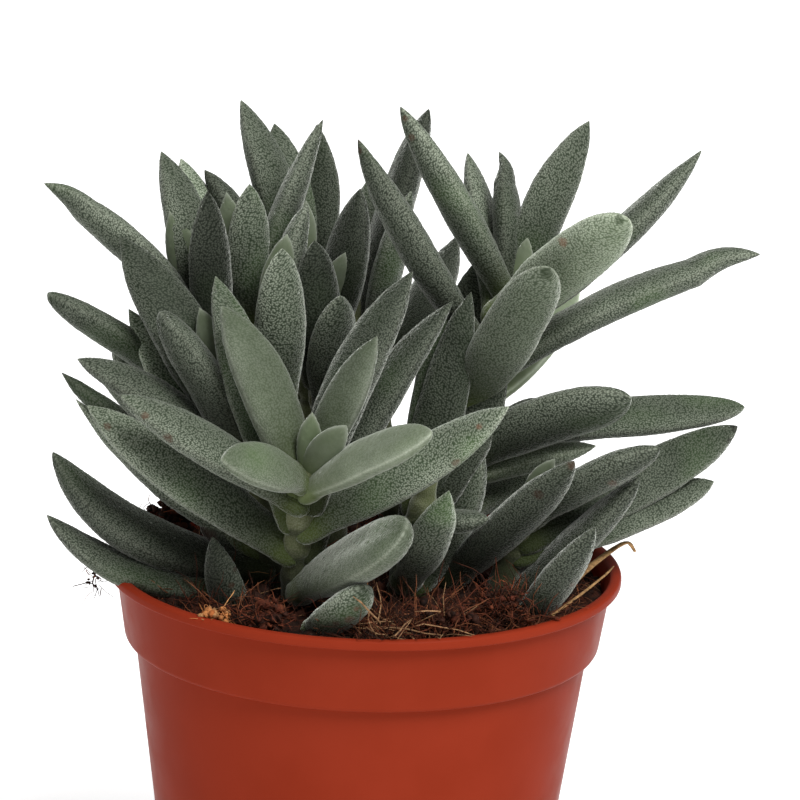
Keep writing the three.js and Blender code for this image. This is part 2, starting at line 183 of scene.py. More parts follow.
MORE_SOIL_LEAVES = {
    "low_leaf_3": ((-19.5, -17, 65), (-24.3, -21, 81.5), 8, 0, 0, 0),
    "low_leaf_4": ((25.5, -18, 68), (36, -28, 87.5), 8.2, 0, 0, 0.1),
    "low_leaf_5": ((-14, -3, 69), (-26.5, -8, 79.5), 6, -2, 0, 1),
}

# ---------------------------------------------------------------- small tools

NOISE_VALUES = 4096
NOISE_SHIFT = 512           # keeps the numbers of the noise's cubes above zero
NOISE_PRIMES = (73856093, 19349663, 83492791)


def linear(red, green, blue):
    """A colour of 0-255 screen values as linear light: ((c + 0.055) / 1.055) ** 2.4 for each."""
    return np.array([((c / 255 + 0.055) / 1.055) ** 2.4 for c in (red, green, blue)])


def unit(v):
    """Vectors scaled to length one."""
    return v / np.linalg.norm(v, axis=-1, keepdims=True)


def blend(a, b, share):
    """The value that share of the way from a to b."""
    return a + (b - a) * share


def smoothstep(low, high, x):
    """0 on low's side, 1 on high's side, and 3t^2 - 2t^3 between; low may be the larger one."""
    t = np.clip((x - low) / (high - low), 0, 1)
    return t * t * (3 - 2 * t)


def bent(t, start, middle, end):
    """A quadratic Bezier line: (1 - t)^2 start + 2t(1 - t) middle + t^2 end."""
    return (1 - t) ** 2 * start + 2 * t * (1 - t) * middle + t**2 * end


def angles(count):
    """That many angles evenly round a circle, from 0."""
    return 2 * np.pi * np.arange(count) / count


def circle(angle):
    """Points of a circle of radius one, at those angles."""
    return np.stack([np.cos(angle), np.sin(angle)], -1)


def turned(profile, sides):
    """A profile of (radius, height) points turned about Z, as rings of points."""
    radius, height = np.array(profile, float).T[:, :, None]
    flat = radius[..., None] * circle(angles(sides))
    return np.concatenate([flat, np.broadcast_to(height[..., None], (*flat.shape[:2], 1))], axis=-1)


def lattice_noise(points, cell, seed):
    """Smooth noise from -1 to 1: random values at the corners of cubes of size cell,
    blended across each cube with a smoothstep along every axis."""
    values = np.random.default_rng(seed).uniform(-1, 1, NOISE_VALUES)
    place = points / cell + NOISE_SHIFT
    corner = np.floor(place).astype(np.int64)
    share = smoothstep(0, 1, place - corner)
    total = np.zeros(points.shape[:-1])
    for step in np.ndindex(2, 2, 2):
        weight = np.prod(np.where(np.array(step) == 1, share, 1 - share), axis=-1)
        x, y, z = np.moveaxis((corner + step) * NOISE_PRIMES, -1, 0)
        total += weight * values[(x ^ y ^ z) & (NOISE_VALUES - 1)]
    return total


def layered_noise(points, layers, seed):
    """Noises laid over each other; each layer is (height, size of its lumps)."""
    return sum(height * lattice_noise(points, cell, seed + n) for n, (height, cell) in enumerate(layers))


def patches(rings, sides):
    """The four corners of every patch between the rings of a tube."""
    ring, column = np.meshgrid(np.arange(rings - 1), np.arange(sides), indexing="ij")
    following = (column + 1) % sides
    low, high = ring * sides, (ring + 1) * sides
    return np.stack([low + column, low + following, high + following, high + column], -1)


def closed_tube(rings, sides, stagger=False):
    """Triangles of a tube whose points are rings x sides, and then two end points, first and last.
    With stagger, the points of every other ring stand half a step round, as in a honeycomb."""
    corners = patches(rings, sides)
    odd = (np.arange(rings - 1)[:, None, None] % 2 == 1) & stagger
    first = np.where(odd, corners[..., [0, 2, 3]], corners[..., [0, 1, 3]])
    second = np.where(odd, corners[..., [0, 1, 2]], corners[..., [1, 2, 3]])
    ring = np.arange(sides)
    following = (ring + 1) % sides
    last = (rings - 1) * sides
    caps = [
        np.stack([np.full(sides, rings * sides), following, ring], -1),
        np.stack([np.full(sides, rings * sides + 1), last + ring, last + following], -1),
    ]
    return np.concatenate([first.reshape(-1, 3), second.reshape(-1, 3), *caps])


def listed(grid, ends):
    """A grid of rings as one list, followed by the values of its two end points."""
    return np.concatenate([grid.reshape(-1, 3), ends])


def add_layer(mesh, name, kind, field, values):
    """A value for each point of the mesh, for its material to read under that name."""
    layer = mesh.attributes.new(name, kind, "POINT")
    layer.data.foreach_set(field, values.astype(np.float32).ravel())


def add_object(name, data):
    """A new object in the scene."""
    made = bpy.data.objects.new(name, data)
    bpy.context.scene.collection.objects.link(made)
    return made


def make_piece(name, points, faces, material, slot, replaced=(), tint=None, skin=None, **shares):
    """A piece of the plant: points in mm, faces with three or four corners, and what its
    material reads at each point: its colour (tint), its place on the skin (skin), and shares,
    each one number for all points or one per point. Faces are turned outwards if the volume
    that they enclose comes out negative."""
    mesh = bpy.data.meshes.new(name)
    corners = faces.shape[1]
    a, b, c = (points[faces[:, n]] for n in (0, 1, 2))
    enclosed = np.einsum("ij,ij->", a, np.cross(b, c))
    if enclosed < 0:
        faces = faces[:, ::-1]
    mesh.vertices.add(len(points))
    mesh.vertices.foreach_set("co", (points * MM).astype(np.float32).ravel())
    mesh.loops.add(faces.size)
    mesh.loops.foreach_set("vertex_index", faces.astype(np.int32).ravel())
    mesh.polygons.add(len(faces))
    mesh.polygons.foreach_set("loop_start", np.arange(0, faces.size, corners, dtype=np.int32))
    mesh.polygons.foreach_set("use_smooth", np.ones(len(faces), bool))
    mesh.update(calc_edges=True)
    if tint is not None:
        rgba = np.concatenate([tint, np.ones((len(points), 1))], axis=1)
        add_layer(mesh, "tint", "FLOAT_COLOR", "color", rgba)
    if skin is not None:
        add_layer(mesh, "skin", "FLOAT_VECTOR", "vector", skin)
    for key, share in shares.items():
        add_layer(mesh, key, "FLOAT", "value", np.broadcast_to(share, len(points)))
    piece = add_object(name, mesh)
    mesh.materials.append(material)
    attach(piece, "root")
    if replaced:
        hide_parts(*replaced)


# ---------------------------------------------------------------- materials


class Finish:
    """A material under construction: nodes are made by kind, and joined by socket."""

    def __init__(self, name):
        self.material = bpy.data.materials.new(name)
        self.material.use_nodes = True
        self.tree = self.material.node_tree
        self.shader = self.tree.nodes["Principled BSDF"]
        self.place = self.node("ShaderNodeTexCoord", {}).outputs["Object"]

    def node(self, kind, inputs, **settings):
        """A node of that kind; inputs gives a value or another node's output for each socket."""
        made = self.tree.nodes.new(kind)
        for key, value in settings.items():
            setattr(made, key, value)
        for socket, value in inputs.items():
            self.put(made.inputs[socket], value)
        return made

    def put(self, socket, value):
        """Link an output to the socket, or set the socket's own value."""
        if isinstance(value, bpy.types.NodeSocket):
            self.tree.links.new(value, socket)
        elif isinstance(value, np.ndarray):
            socket.default_value = (*value, 1.0)
        else:
            socket.default_value = value

    def set(self, **values):
        """The shader's own inputs, with words joined by _ in their names."""
        for key, value in values.items():
            self.put(self.shader.inputs[key.replace("_", " ")], value)

    def noise(self, cell, detail=2.0, roughness=0.5):
        """Noise whose lumps are about cell mm across."""
        inputs = {"Vector": self.place, "Scale": 1 / (cell * MM), "Detail": detail, "Roughness": roughness}
        return self.node("ShaderNodeTexNoise", inputs).outputs["Fac"]

    def dots(self, cell, scatter):
        """Distance, in cells, to the nearest of many points about cell mm apart over the skin,
        whose length and girth each point of the mesh holds in mm (skin). With scatter 0 they
        stand in rows, and with 1 they are strewn at random."""
        inputs = {"Vector": self.read("skin", "Vector"), "Scale": 1 / cell, "Randomness": scatter}
        return self.node("ShaderNodeTexVoronoi", inputs, voronoi_dimensions="2D").outputs["Distance"]

    def ramp(self, value, low, high, to_low=0.0, to_high=1.0):
        """value from low..high to to_low..to_high, eased at both ends."""
        inputs = {"Value": value, "From Min": low, "From Max": high, "To Min": to_low, "To Max": to_high}
        return self.node("ShaderNodeMapRange", inputs, interpolation_type="SMOOTHSTEP").outputs["Result"]

    def math(self, operation, a, b):
        """Two values joined by one of the Math node's operations."""
        return self.node("ShaderNodeMath", {0: a, 1: b}, operation=operation).outputs["Value"]

    def plus(self, a, b):
        """a + b."""
        return self.math("ADD", a, b)

    def minus(self, a, b):
        """a - b."""
        return self.math("SUBTRACT", a, b)

    def times(self, a, b):
        """a * b."""
        return self.math("MULTIPLY", a, b)

    def mix(self, share, a, b, blend_type="MIX"):
        """Colour a turning to b by share."""
        inputs = {"Factor": share, "A": a, "B": b}
        return self.node("ShaderNodeMix", inputs, data_type="RGBA", blend_type=blend_type).outputs["Result"]

    def read(self, name, output):
        """A colour or number that the mesh holds for each point."""
        return self.node("ShaderNodeAttribute", {}, attribute_name=name).outputs[output]

    def bump(self, height, depth, strength):
        """Relief of that depth in mm, from a height of 0 to 1."""
        inputs = {"Height": height, "Distance": depth * MM, "Strength": strength}
        self.put(self.shader.inputs["Normal"], self.node("ShaderNodeBump", inputs).outputs["Normal"])


HAIR_PITCH = 0.33           # mm between the hairs of the down
HAIR_SCATTER = 0.9
HAIR_REACH = 0.7            # where a hair has faded out, in pitches from its middle
EVEN_GRAIN = 0.4            # the grain that velvety skin has all over
DOWN_SHEEN = linear(238, 242, 232)


def down_finish(name, hair_colour, sheen, sheen_roughness):
    """Skin of a downy leaf or stem: its tint is broken up by pale rounded hairs that thin out
    where down is low and run together where velvet is high, under a sheen that whitens what
    turns away. tone lightens or darkens the whole skin, for its own tone and as painted light
    and shade."""
    skin = Finish(name)
    down = skin.read("down", "Fac")
    velvet = skin.read("velvet", "Fac")
    grain = skin.ramp(skin.dots(HAIR_PITCH, HAIR_SCATTER), HAIR_REACH, 0)
    hairs = skin.plus(grain, skin.times(velvet, skin.minus(EVEN_GRAIN, grain)))
    patchy = skin.ramp(skin.noise(1.8, 3.0), 0.3, 0.7, to_low=0.88, to_high=1.1)
    cover = skin.times(skin.plus(skin.times(hairs, 0.85), 0.13), down)
    cover = skin.times(cover, patchy)
    cover.node.use_clamp = True
    colour = skin.mix(cover, skin.read("tint", "Color"), hair_colour)
    skin.set(Base_Color=skin.mix(1.0, colour, skin.read("tone", "Fac"), "MULTIPLY"))
    skin.set(Roughness=skin.ramp(grain, 0, 1, to_low=0.55, to_high=0.85))
    skin.set(IOR=1.2, Sheen_Weight=sheen, Sheen_Roughness=sheen_roughness, Sheen_Tint=DOWN_SHEEN)
    skin.bump(hairs, 0.1, 0.6)
    return skin.material


def pot_finish():
    """Moulded terracotta-coloured plastic: even, satin, with a faint cloudiness and fine flow marks."""
    plastic = Finish("pot plastic")
    cloudy = plastic.ramp(plastic.noise(14, 3.0), 0.3, 0.7)
    speck = plastic.ramp(plastic.noise(0.35, 2.0), 0.62, 0.8, to_high=0.35)
    colour = plastic.mix(cloudy, linear(129, 43, 24), linear(134, 46, 27))
    plastic.set(Base_Color=plastic.mix(speck, colour, linear(118, 42, 26)))
    plastic.set(Roughness=plastic.ramp(plastic.noise(5, 4.0), 0.3, 0.7, to_low=0.3, to_high=0.4))
    plastic.set(IOR=1.07)
    plastic.bump(plastic.noise(0.5, 3.0), 0.02, 0.35)
    return plastic.material


def soil_finish():
    """Damp peat: near-black to brown crumbs, reddish in patches."""
    peat = Finish("potting soil")
    crumbs = peat.ramp(peat.noise(1.3, 4.0, 0.65), 0.3, 0.72)
    reddish = peat.ramp(peat.noise(3.4, 3.0), 0.45, 0.65)
    colour = peat.mix(crumbs, linear(12, 8, 6), linear(50, 30, 21))
    peat.set(Base_Color=peat.mix(reddish, colour, peat.mix(crumbs, linear(22, 11, 8), linear(78, 40, 26))))
    peat.set(Roughness=0.95, Specular_IOR_Level=0.15)
    peat.bump(peat.noise(0.5, 4.0, 0.7), 0.3, 0.9)
    return peat.material


def fibre_finish():
    """Dry plant fibre: the colour of each strand, streaked darker."""
    fibre = Finish("coir fibre")
    streak = fibre.ramp(fibre.noise(0.7, 3.0), 0.35, 0.7, to_high=0.6)
    fibre.set(Base_Color=fibre.mix(streak, fibre.read("tint", "Color"), linear(58, 30, 18)))
    fibre.set(Roughness=0.8, Specular_IOR_Level=0.2)
    return fibre.material


SKINS = {
    "leaf": down_finish("downy leaf", linear(138, 145, 129), sheen=0.8, sheen_roughness=0.33),
    "stem": down_finish("downy stem", linear(142, 144, 120), sheen=0.6, sheen_roughness=0.4),
}
POT_PLASTIC = pot_finish()
SOIL = soil_finish()
FIBRE = fibre_finish()

# ---------------------------------------------------------------- a leaf

UNDER_TINT = linear(19, 30, 15)
UPPER_TINT = linear(23, 36, 17)
BARE_TINT = linear(50, 72, 34)
YOUNG_TINT = linear(64, 80, 42)
BASE_TINT = linear(80, 94, 36)
# pale hairs and painted sheen along a leaf's margin
EDGE_HAIRS_AND_SHEEN = linear(140, 142, 126)

FINE_PITCH = 0.32           # distance between surface points of the leaves in front
PLAIN_PITCH = 0.4           # and of those behind
ROW_STEP = 0.866            # height of an equal-sided triangle
LEAST_RINGS, LEAST_SIDES = 12, 15
TIP_CROWDING = 1.3          # the rings stand closer towards the tip
STRAY = 0.42                # how far a point may stray from its place, in steps
STEADY_TIP = 0.2            # below this share of the width, points don't stray along the leaf
HALF_GIRTH = 1.29           # from margin to margin round the blade, as a share of its width
PAPILLA_HEIGHT = 0.09
LEAF_SWELLS = [(0.16, 6.5), (0.05, 2.4)]    # layers of noise that lift the skin, in mm
LEAF_CLOUDS = [(0.2, 4.2), (0.12, 1.3)]     # and that lighten or darken it by a share
BARE_PATCH = 9              # mm across
HOLLOW_DEPTH, HOLLOW_WIDTH = 0.22, 0.45
HOOK_START = 0.76
EDGE_BAND = 0.25            # mm to either side of the margin over which the skin is pale, with its own hairs and painted sheen
FOOT_TINGE = 0.07           # share of the leaf that turns yellower at the foot
YOUNG_FOOT_TINGE = 0.25     # and what youth adds to it
SHADE_END = 0.6             # share of the way to the tip where the shade at the foot has faded
SKIN_SHIFT = 7              # mm between the leaves' places on the skin, so that no two look alike
END_SINK = 0.15             # how far the foot's end point lies past its last ring

# A leaf's foot runs into its stem, or down into the soil, and widens to clasp the stem: how deep
# each of its rings lies, and its width as a share of the outline's.
FOOT_DEPTHS = 3.9 * np.array([1.0, 0.95, 0.82, 0.6, 0.35, 0.15])
FOOT_WIDTHS = np.array([0.5, 0.8, 1.05, 1.2, 1.25, 1.25])
FOOT_RINGS = len(FOOT_DEPTHS)
CLASP = 0.25
CLASP_REACH = 0.05
ROOT_SLOPE = 1.3
LEAF_END_DOWN = (0.3, 0.6)


def outline(s, bluntness):
    """Half the blade's width as a share of the widest: a quarter sine from 0.6 up to the widest
    part at 0.42, then (1 - u^(2.1 + 2b))^(1 - 0.45b) down to the tip, u from 0 to 1."""
    rising = BASE_SHARE + (1 - BASE_SHARE) * np.sin(np.pi / 2 * np.clip(s / WIDEST_AT, 0, 1))
    u = np.clip((s - WIDEST_AT) / (1 - WIDEST_AT), 0, 1)
    falling = (1 - u ** (2.1 + 2 * bluntness)) ** (1 - 0.45 * bluntness)
    return np.where(s < WIDEST_AT, rising, falling)


def blade_axes(foot, tip, growing, bow, turn):
    """The upper side's direction, square to the line from foot to tip and rolled about it,
    and the middle control point of the bent line, half way and bow mm below."""
    length = unit(tip - foot)
    up = unit(growing - length * (growing @ length))
    angle = math.radians(-turn)
    up = up * math.cos(angle) + np.cross(length, up) * math.sin(angle)
    return up, (foot + tip) / 2 - up * bow


def blade_line(foot, tip, growing, bow, turn, hook, rings, rooted):
    """A leaf's line, ring by ring: the share of the way from foot to tip, the place, and the
    directions along it, across it and above it. It is a bent line that arches up by hook before
    the tip, as half a sine, and starts deep in the stem, or in the soil if rooted."""
    up, middle = blade_axes(foot, tip, growing, bow, turn)
    s = 1 - (1 - np.linspace(0, 1, rings + 1)[:-1]) ** TIP_CROWDING
    s = np.concatenate([np.zeros(FOOT_RINGS), s])
    t = s[:, None]
    arch = np.sin(np.pi * np.clip((t - HOOK_START) / (1 - HOOK_START), 0, 1))
    line = bent(t, foot, middle, tip) + up * hook * arch
    along = unit(np.gradient(line[FOOT_RINGS:], axis=0))
    along = np.concatenate([np.repeat(along[:1], FOOT_RINGS, axis=0), along])
    above = unit(up - along * (along @ up)[:, None])
    backwards = unit(along[0] + np.array([0, 0, ROOT_SLOPE if rooted else 0]))
    line[:FOOT_RINGS] -= backwards * FOOT_DEPTHS[:, None]
    return s, line, along, np.cross(along, above), above


def blade_section(angle, s, share, width, bluntness):
    """How far each point stands from the line, across and above: cos(a) * half width, and
    sin(a) * 0.62 of the thickness below the margin and sin(a) * 0.38 of it above, where a
    blunt leaf is a little hollow towards its tip."""
    lift = np.sin(angle)
    across = np.exp(-((np.cos(angle) / HOLLOW_WIDTH) ** 2))
    hollow = HOLLOW_DEPTH * bluntness * across * smoothstep(0.25, 0.7, s[:, None])
    rise_share = np.where(lift > 0, UPPER_SHARE * (lift - hollow), (1 - UPPER_SHARE) * lift)
    side = np.cos(angle) * (width / 2 * share)[:, None]
    return side, rise_share * (width * LEAF_THICKNESS * share**0.85)[:, None]


def outward_of(points, from_line):
    """The direction square to the surface at each point of a tube, on the side of from_line."""
    tangent_along = np.gradient(points, axis=0)
    tangent_round = np.roll(points, -1, axis=1) - np.roll(points, 1, axis=1)
    outward = unit(np.cross(tangent_round, tangent_along) + 1e-9)
    return outward * np.sign(np.sum(outward * from_line, axis=-1, keepdims=True) + 1e-12)


def leaf_colours(points, angle, s, rise, youth, seed):
    """A leaf's tint and down. The green is cloudy, turns yellower towards the foot and is clearer
    in bare patches. Down is thickest towards the margins, as the fourth power of cos(a), which
    also paints pale sheen along them, and thin in the bare patches and at the foot. The margin
    itself is pale, partly with its own hairs and partly with painted sheen, more so in a young
    leaf, and fades as exp(-(rise / 0.25)^2)."""
    upper = smoothstep(-0.15, 0.35, np.sin(angle))
    # painted sheen and pale hairs along the margin, strongest in young leaves
    edge = (0.3 + 0.7 * youth) * np.exp(-((rise / EDGE_BAND) ** 2)) * smoothstep(0.02, 0.12, s)[:, None]
    base = np.exp(-s / (FOOT_TINGE + YOUNG_FOOT_TINGE * youth))[:, None] * np.ones_like(rise)
    cloud = 1 + layered_noise(points, LEAF_CLOUDS, seed + 2)
    patch = lattice_noise(points, BARE_PATCH, seed + 4)
    older = blend(UNDER_TINT, UPPER_TINT, upper[..., None])
    older = blend(older, BARE_TINT, 0.6 * smoothstep(0.1, 0.8, -patch)[..., None])
    tint = blend(older, YOUNG_TINT, youth) * cloud[..., None]
    tint = blend(tint, BASE_TINT, (0.85 * base)[..., None])
    tint = blend(tint, EDGE_HAIRS_AND_SHEEN, (0.5 * edge)[..., None])
    # down denser at the margins, which also paints the pale sheen along them
    pale = 0.45 + 0.35 * np.cos(angle) ** 4 + 0.2 * youth
    down = (pale + 0.12 * upper) * (1 - 0.5 * base) * (1 + 0.3 * patch) + (0.3 + 2 * youth) * edge
    return tint, down


def stained(tint, down, points, outward, marks, seed):
    """Tint and down with stains on the skin that faces the front, where the down is thinner too.
    Each mark (x, z, radius, colour) is a round spot seen along Y, ragged at its edge."""
    for x, z, radius, colour in marks:
        away = np.hypot(points[..., 0] - x, points[..., 2] - z) / radius
        ragged = away + 0.4 * lattice_noise(points, 1.1, seed + 5)
        stain = smoothstep(1, 0.6, ragged) * (outward[..., 1] < 0.2)
        tint = blend(tint, colour, (0.8 * stain)[..., None])
        down = down * (1 - 0.6 * stain)
    return tint, down


def skin_places(length, girth):
    """Where each point lies on the skin laid flat, in mm: along it and round it."""
    length, girth = np.broadcast_arrays(length, girth)
    return np.stack([length, girth, np.zeros(girth.shape)], -1)


def blade(foot, tip, growing, shape, pitch, seed, youth, rooted, shaded, hook, marks):
    """A leaf's points, faces, tint, down and places on the skin. The points form a honeycomb round
    the leaf's line. Each strays a little and is raised by a random height, on a skin that swells
    slowly. shaded darkens the skin at the foot by that share."""
    width, bow, turn, bluntness = shape
    reach = np.linalg.norm(tip - foot)
    rings = max(LEAST_RINGS, int(reach / (pitch * ROW_STEP)))
    sides = max(LEAST_SIDES, int(round(2 * HALF_GIRTH * width / pitch)))
    s, line, along, across, above = blade_line(foot, tip, growing, bow, turn, hook, rings, rooted)
    rings = len(s)

    chance = np.random.default_rng(seed)
    stray_round, stray_along = chance.uniform(-STRAY, STRAY, (2, rings, sides))
    half_steps = 0.5 * (np.arange(rings)[:, None] % 2)
    angle = 2 * np.pi * (np.arange(sides) + half_steps + stray_round) / sides
    clasp = np.concatenate([FOOT_WIDTHS, 1 + CLASP * np.exp(-s[FOOT_RINGS:] / CLASP_REACH)])
    share = outline(s, bluntness) * clasp
    side, rise = blade_section(angle, s, share, width, bluntness)
    from_line = across[:, None] * side[..., None] + above[:, None] * rise[..., None]
    stray_along = stray_along * pitch * ROW_STEP * (share[:, None] > STEADY_TIP)
    points = line[:, None] + from_line + along[:, None] * stray_along[..., None]
    outward = outward_of(points, from_line)
    height = chance.random((rings, sides)) * PAPILLA_HEIGHT
    height = height * smoothstep(0.05, 0.5, share)[:, None] * (1 - 0.5 * youth)
    swell = layered_noise(points, LEAF_SWELLS, seed) * smoothstep(0, 0.4, share)[:, None]
    points = points + outward * (height + swell)[..., None]

    tint, down = leaf_colours(points, angle, s, rise, youth, seed)
    light = 1 - shaded * (1 - smoothstep(0, SHADE_END, s))[:, None]
    tint, down = stained(tint * light[..., None], down * light, points, outward, marks, seed)
    length = np.concatenate([-FOOT_DEPTHS, s[FOOT_RINGS:] * reach])[:, None]
    girth = HALF_GIRTH * width * share[:, None] * (1 - np.abs(angle / np.pi - 1))
    skin = skin_places(length + SKIN_SHIFT * (seed % 100), girth)
    return (
        listed(points, [line[0] - along[0] * END_SINK, tip]),
        closed_tube(rings, sides, stagger=True),
        listed(tint, [tint[0].mean(0), tint[-1].mean(0)]),
        np.concatenate([down.ravel(), LEAF_END_DOWN]),
        listed(skin, skin[[0, -1], 0]),
    )


def make_skinned(name, node, slot, surface, velvet, tone):
    """A stem or leaf as a piece, which stands for the part's solid called node, if there is one."""
    points, faces, tint, down, skin = surface
    replaced = (node,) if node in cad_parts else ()
    shares = {"down": down, "velvet": velvet, "tone": tone}
    make_piece(name, points, faces, SKINS[slot], slot, replaced, tint, skin, **shares)


# ---------------------------------------------------------------- the leaves on their shoots

SHADED_SHOOTS = ("back", "back_right", "left_back", "inner")
FOOT_SHADE = 0.55
SOIL_SHADE = 0.2
UP = np.array([0.0, 0.0, 1.0])

# Leaves whose skin is darker or paler than the rest: partly their own tone, partly painted shade on leaves
# that lie in shadow and painted light on leaves in the light.
TONES_AND_PAINTED_LIGHT = {
    0.4: ("back_right_leaf_1", "back_right_leaf_2", "inner_leaf_3", "left_leaf_4"),
    0.6: ("back_leaf_3", "back_leaf_5", "front_leaf_6", "front_leaf_10", "inner_leaf_1", "left_leaf_5",
          "left_low_leaf_2", "left_low_leaf_5", "low_leaf_3", "low_leaf_4", "low_leaf_5",
          "middle_leaf_4", "middle_leaf_6", "right_leaf_10", "right_low_leaf_4"),
    0.8: ("front_leaf_2", "left_leaf_2", "left_low_leaf_1", "left_low_leaf_3", "low_leaf_2",
          "right_leaf_2", "right_leaf_13", "right_low_leaf_1", "right_low_leaf_2"),
    1.2: ("back_right_leaf_4", "front_leaf_1", "front_leaf_5", "front_leaf_7", "left_leaf_1",
          "right_leaf_7"),
    1.4: ("front_leaf_4", "front_leaf_9", "low_leaf_1", "right_leaf_1", "right_leaf_6", "right_leaf_11",
          "right_leaf_12"),
    1.8: ("centre_leaf_1", "front_leaf_8", "left_back_leaf_1", "left_low_leaf_7", "middle_leaf_2"),
    2.6: ("left_back_leaf_4", "left_low_leaf_6", "right_leaf_4", "right_leaf_15", "right_leaf_16"),
}

# 0 for a full-grown leaf, 1 for a bud.
YOUTH_OF = {
    "front_leaf_1": 0.3, "front_leaf_2": 0.35, "front_leaf_3": 0.3, "front_leaf_4": 0.45,
    "front_leaf_11": 0.3, "right_leaf_4": 0.15, "right_leaf_6": 0.1, "right_leaf_15": 0.6,
    "right_leaf_16": 0.15,
}
NEW_LEAF_YOUTH = 0.7

# How far a leaf's tip hooks, in mm.
HOOK_OF = {"right_leaf_7": 1.1, "left_leaf_1": 0.5, "right_leaf_13": 0.6, "middle_leaf_6": 0.4}

BROWN = linear(62, 44, 32)
RUST = linear(84, 60, 46)
CALLUS = linear(24, 20, 18)
DARK_GREEN = linear(26, 36, 18)
DRY = linear(74, 52, 48)

# Stains on the leaves: (x, z, radius, colour), in mm.
MARKS_OF = {
    "front_leaf_5": [(-31, 100, 0.9, BROWN), (-35, 103.2, 0.7, RUST)],
    "front_leaf_8": [(13.5, 97.5, 0.9, BROWN), (17, 103.5, 0.5, RUST)],
    "front_leaf_9": [(-41.2, 99.4, 0.8, BROWN)],
    "right_leaf_1": [(3.8, 147, 0.6, BROWN), (5, 144.1, 0.7, BROWN)],
    "right_leaf_2": [(-3.6, 142.3, 0.9, BROWN), (-3.4, 139.4, 0.8, RUST), (-3.4, 144, 0.8, BROWN)],
    "right_leaf_4": [(29.4, 130, 0.9, RUST), (37.8, 135.1, 1, DARK_GREEN)],
    "right_leaf_6": [(26.6, 126.7, 1.3, DARK_GREEN)],
    "right_leaf_10": [(32.6, 96.1, 1.4, RUST), (27, 90.8, 1, BROWN)],
    "right_low_leaf_1": [(39, 92, 0.8, RUST)],
    "right_low_leaf_2": [(60.4, 96.6, 1.6, CALLUS), (59.2, 94.6, 0.7, CALLUS)],
    "right_leaf_7": [(62.3, 125, 0.8, CALLUS)],
    "low_leaf_1": [(-2, 74, 0.9, RUST), (-1, 76, 0.6, RUST), (-4, 73, 0.7, BROWN)],
    "low_leaf_3": [(-21, 74, 0.6, RUST), (-20.5, 76.5, 0.5, BROWN)],
    "low_leaf_4": [(31, 72, 0.9, BROWN), (33, 77, 0.6, RUST)],
    "low_leaf_5": [(-26, 78, 2.2, DRY)],
}


def stem_at(path, height):
    """The stem's centre line and direction at a height, along the straight runs of its path."""
    path = np.array(path, float)
    i = int(np.clip(np.searchsorted(path[:, 2], height), 1, len(path) - 1))
    share = (height - path[i - 1, 2]) / (path[i, 2] - path[i - 1, 2])
    return blend(path[i - 1], path[i], share), unit(path[i] - path[i - 1])


def stem_radius(path, height):
    """Radius that stays for most of the height and narrows with the cube of it near the tip."""
    share = np.clip((height - path[0][2]) / (path[-1][2] - path[0][2]), 0, 1)
    return STEM_RADIUS * (1 - STEM_TAPER * share**3)


def leaf_of_shoot(shoot, height, tip):
    """Foot, tip and growing direction of a leaf: its foot stands FOOT_GAP off the stem's skin."""
    path = SHOOTS[shoot][0]
    point, along = stem_at(path, height)
    tip = np.array(tip, float)
    outward = tip - point
    outward = unit(outward - along * (outward @ along))
    return point + outward * (stem_radius(path, height) + FOOT_GAP), tip, along


def make_leaf(node, foot, tip, growing, shape, pitch, seed, youth=0.0, rooted=False, shaded=0.0):
    """One leaf as a piece, with its hook, stains and tone, where tone also holds painted light and shade."""
    hook, marks = HOOK_OF.get(node, 0), MARKS_OF.get(node, ())
    surface = blade(foot, tip, growing, shape, pitch, seed, youth, rooted, shaded, hook, marks)
    # tone holds the leaf's own tone together with painted light and shade
    tone = next((tone for tone, nodes in TONES_AND_PAINTED_LIGHT.items() if node in nodes), 1)
    make_skinned(node.replace("leaf", "blade"), node, "leaf", surface, min(1, 1.7 * youth), tone)


def grow_leaves():
    """All leaves, one piece each, from the rows above: those of the shoots, which are numbered
    shoot by shoot, and those at the soil."""
    counts = {}
    seed = 100
    for shoot, height, tip, *shape in LEAVES + MORE_LEAVES:
        foot, tip, along = leaf_of_shoot(shoot, height, tip)
        counts[shoot] = counts.get(shoot, 0) + 1
        node = f"{shoot}_leaf_{counts[shoot]}"
        behind = shoot in SHADED_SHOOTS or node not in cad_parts
        pitch = PLAIN_PITCH if behind else FINE_PITCH
        youth = YOUTH_OF.get(node, 0)
        seed += 10
        make_leaf(node, foot, tip, along, shape, pitch, seed, youth, shaded=FOOT_SHADE * (1 - youth))
    for node, (foot, tip, *shape) in {**SOIL_LEAVES, **MORE_SOIL_LEAVES}.items():
        foot, tip = np.array(foot, float), np.array(tip, float)
        seed += 10
        make_leaf(node, foot, tip, UP, shape, FINE_PITCH, seed, rooted=True, shaded=SOIL_SHADE)


# ---------------------------------------------------------------- stems

STEM_ROOT = 4               # how far a stem goes on below the soil's top
STEM_STEP = 0.35
STEM_SIDES = 40
SMOOTHING = 11              # rings to either side that the path is averaged over
COLLAR = 0.3
COLLAR_REACH = 1.3
COLLAR_DROP = 0.5           # the collar's middle lies this far below the leaf's foot
# where the painted shade just below each collar lies
CREASE_DROP, CREASE_REACH = 1.6, 0.5
TIP_ROUNDING = 1.2
STEM_TINT = linear(84, 92, 54)
STEM_SHADE = linear(44, 50, 28)
STEM_VELVET = 0.3
STEM_BUMPS = [(0.12, 1.1), (0.1, 3)]
STEM_END_DOWN = (0.3, 0.3)
DARK_BELOW, LIGHT_ABOVE = 3, 18     # mm above the soil, between which painted shade darkens a stem
YOUNG_LEAF_FACING = np.array([0.0, -1.0, 0.3])


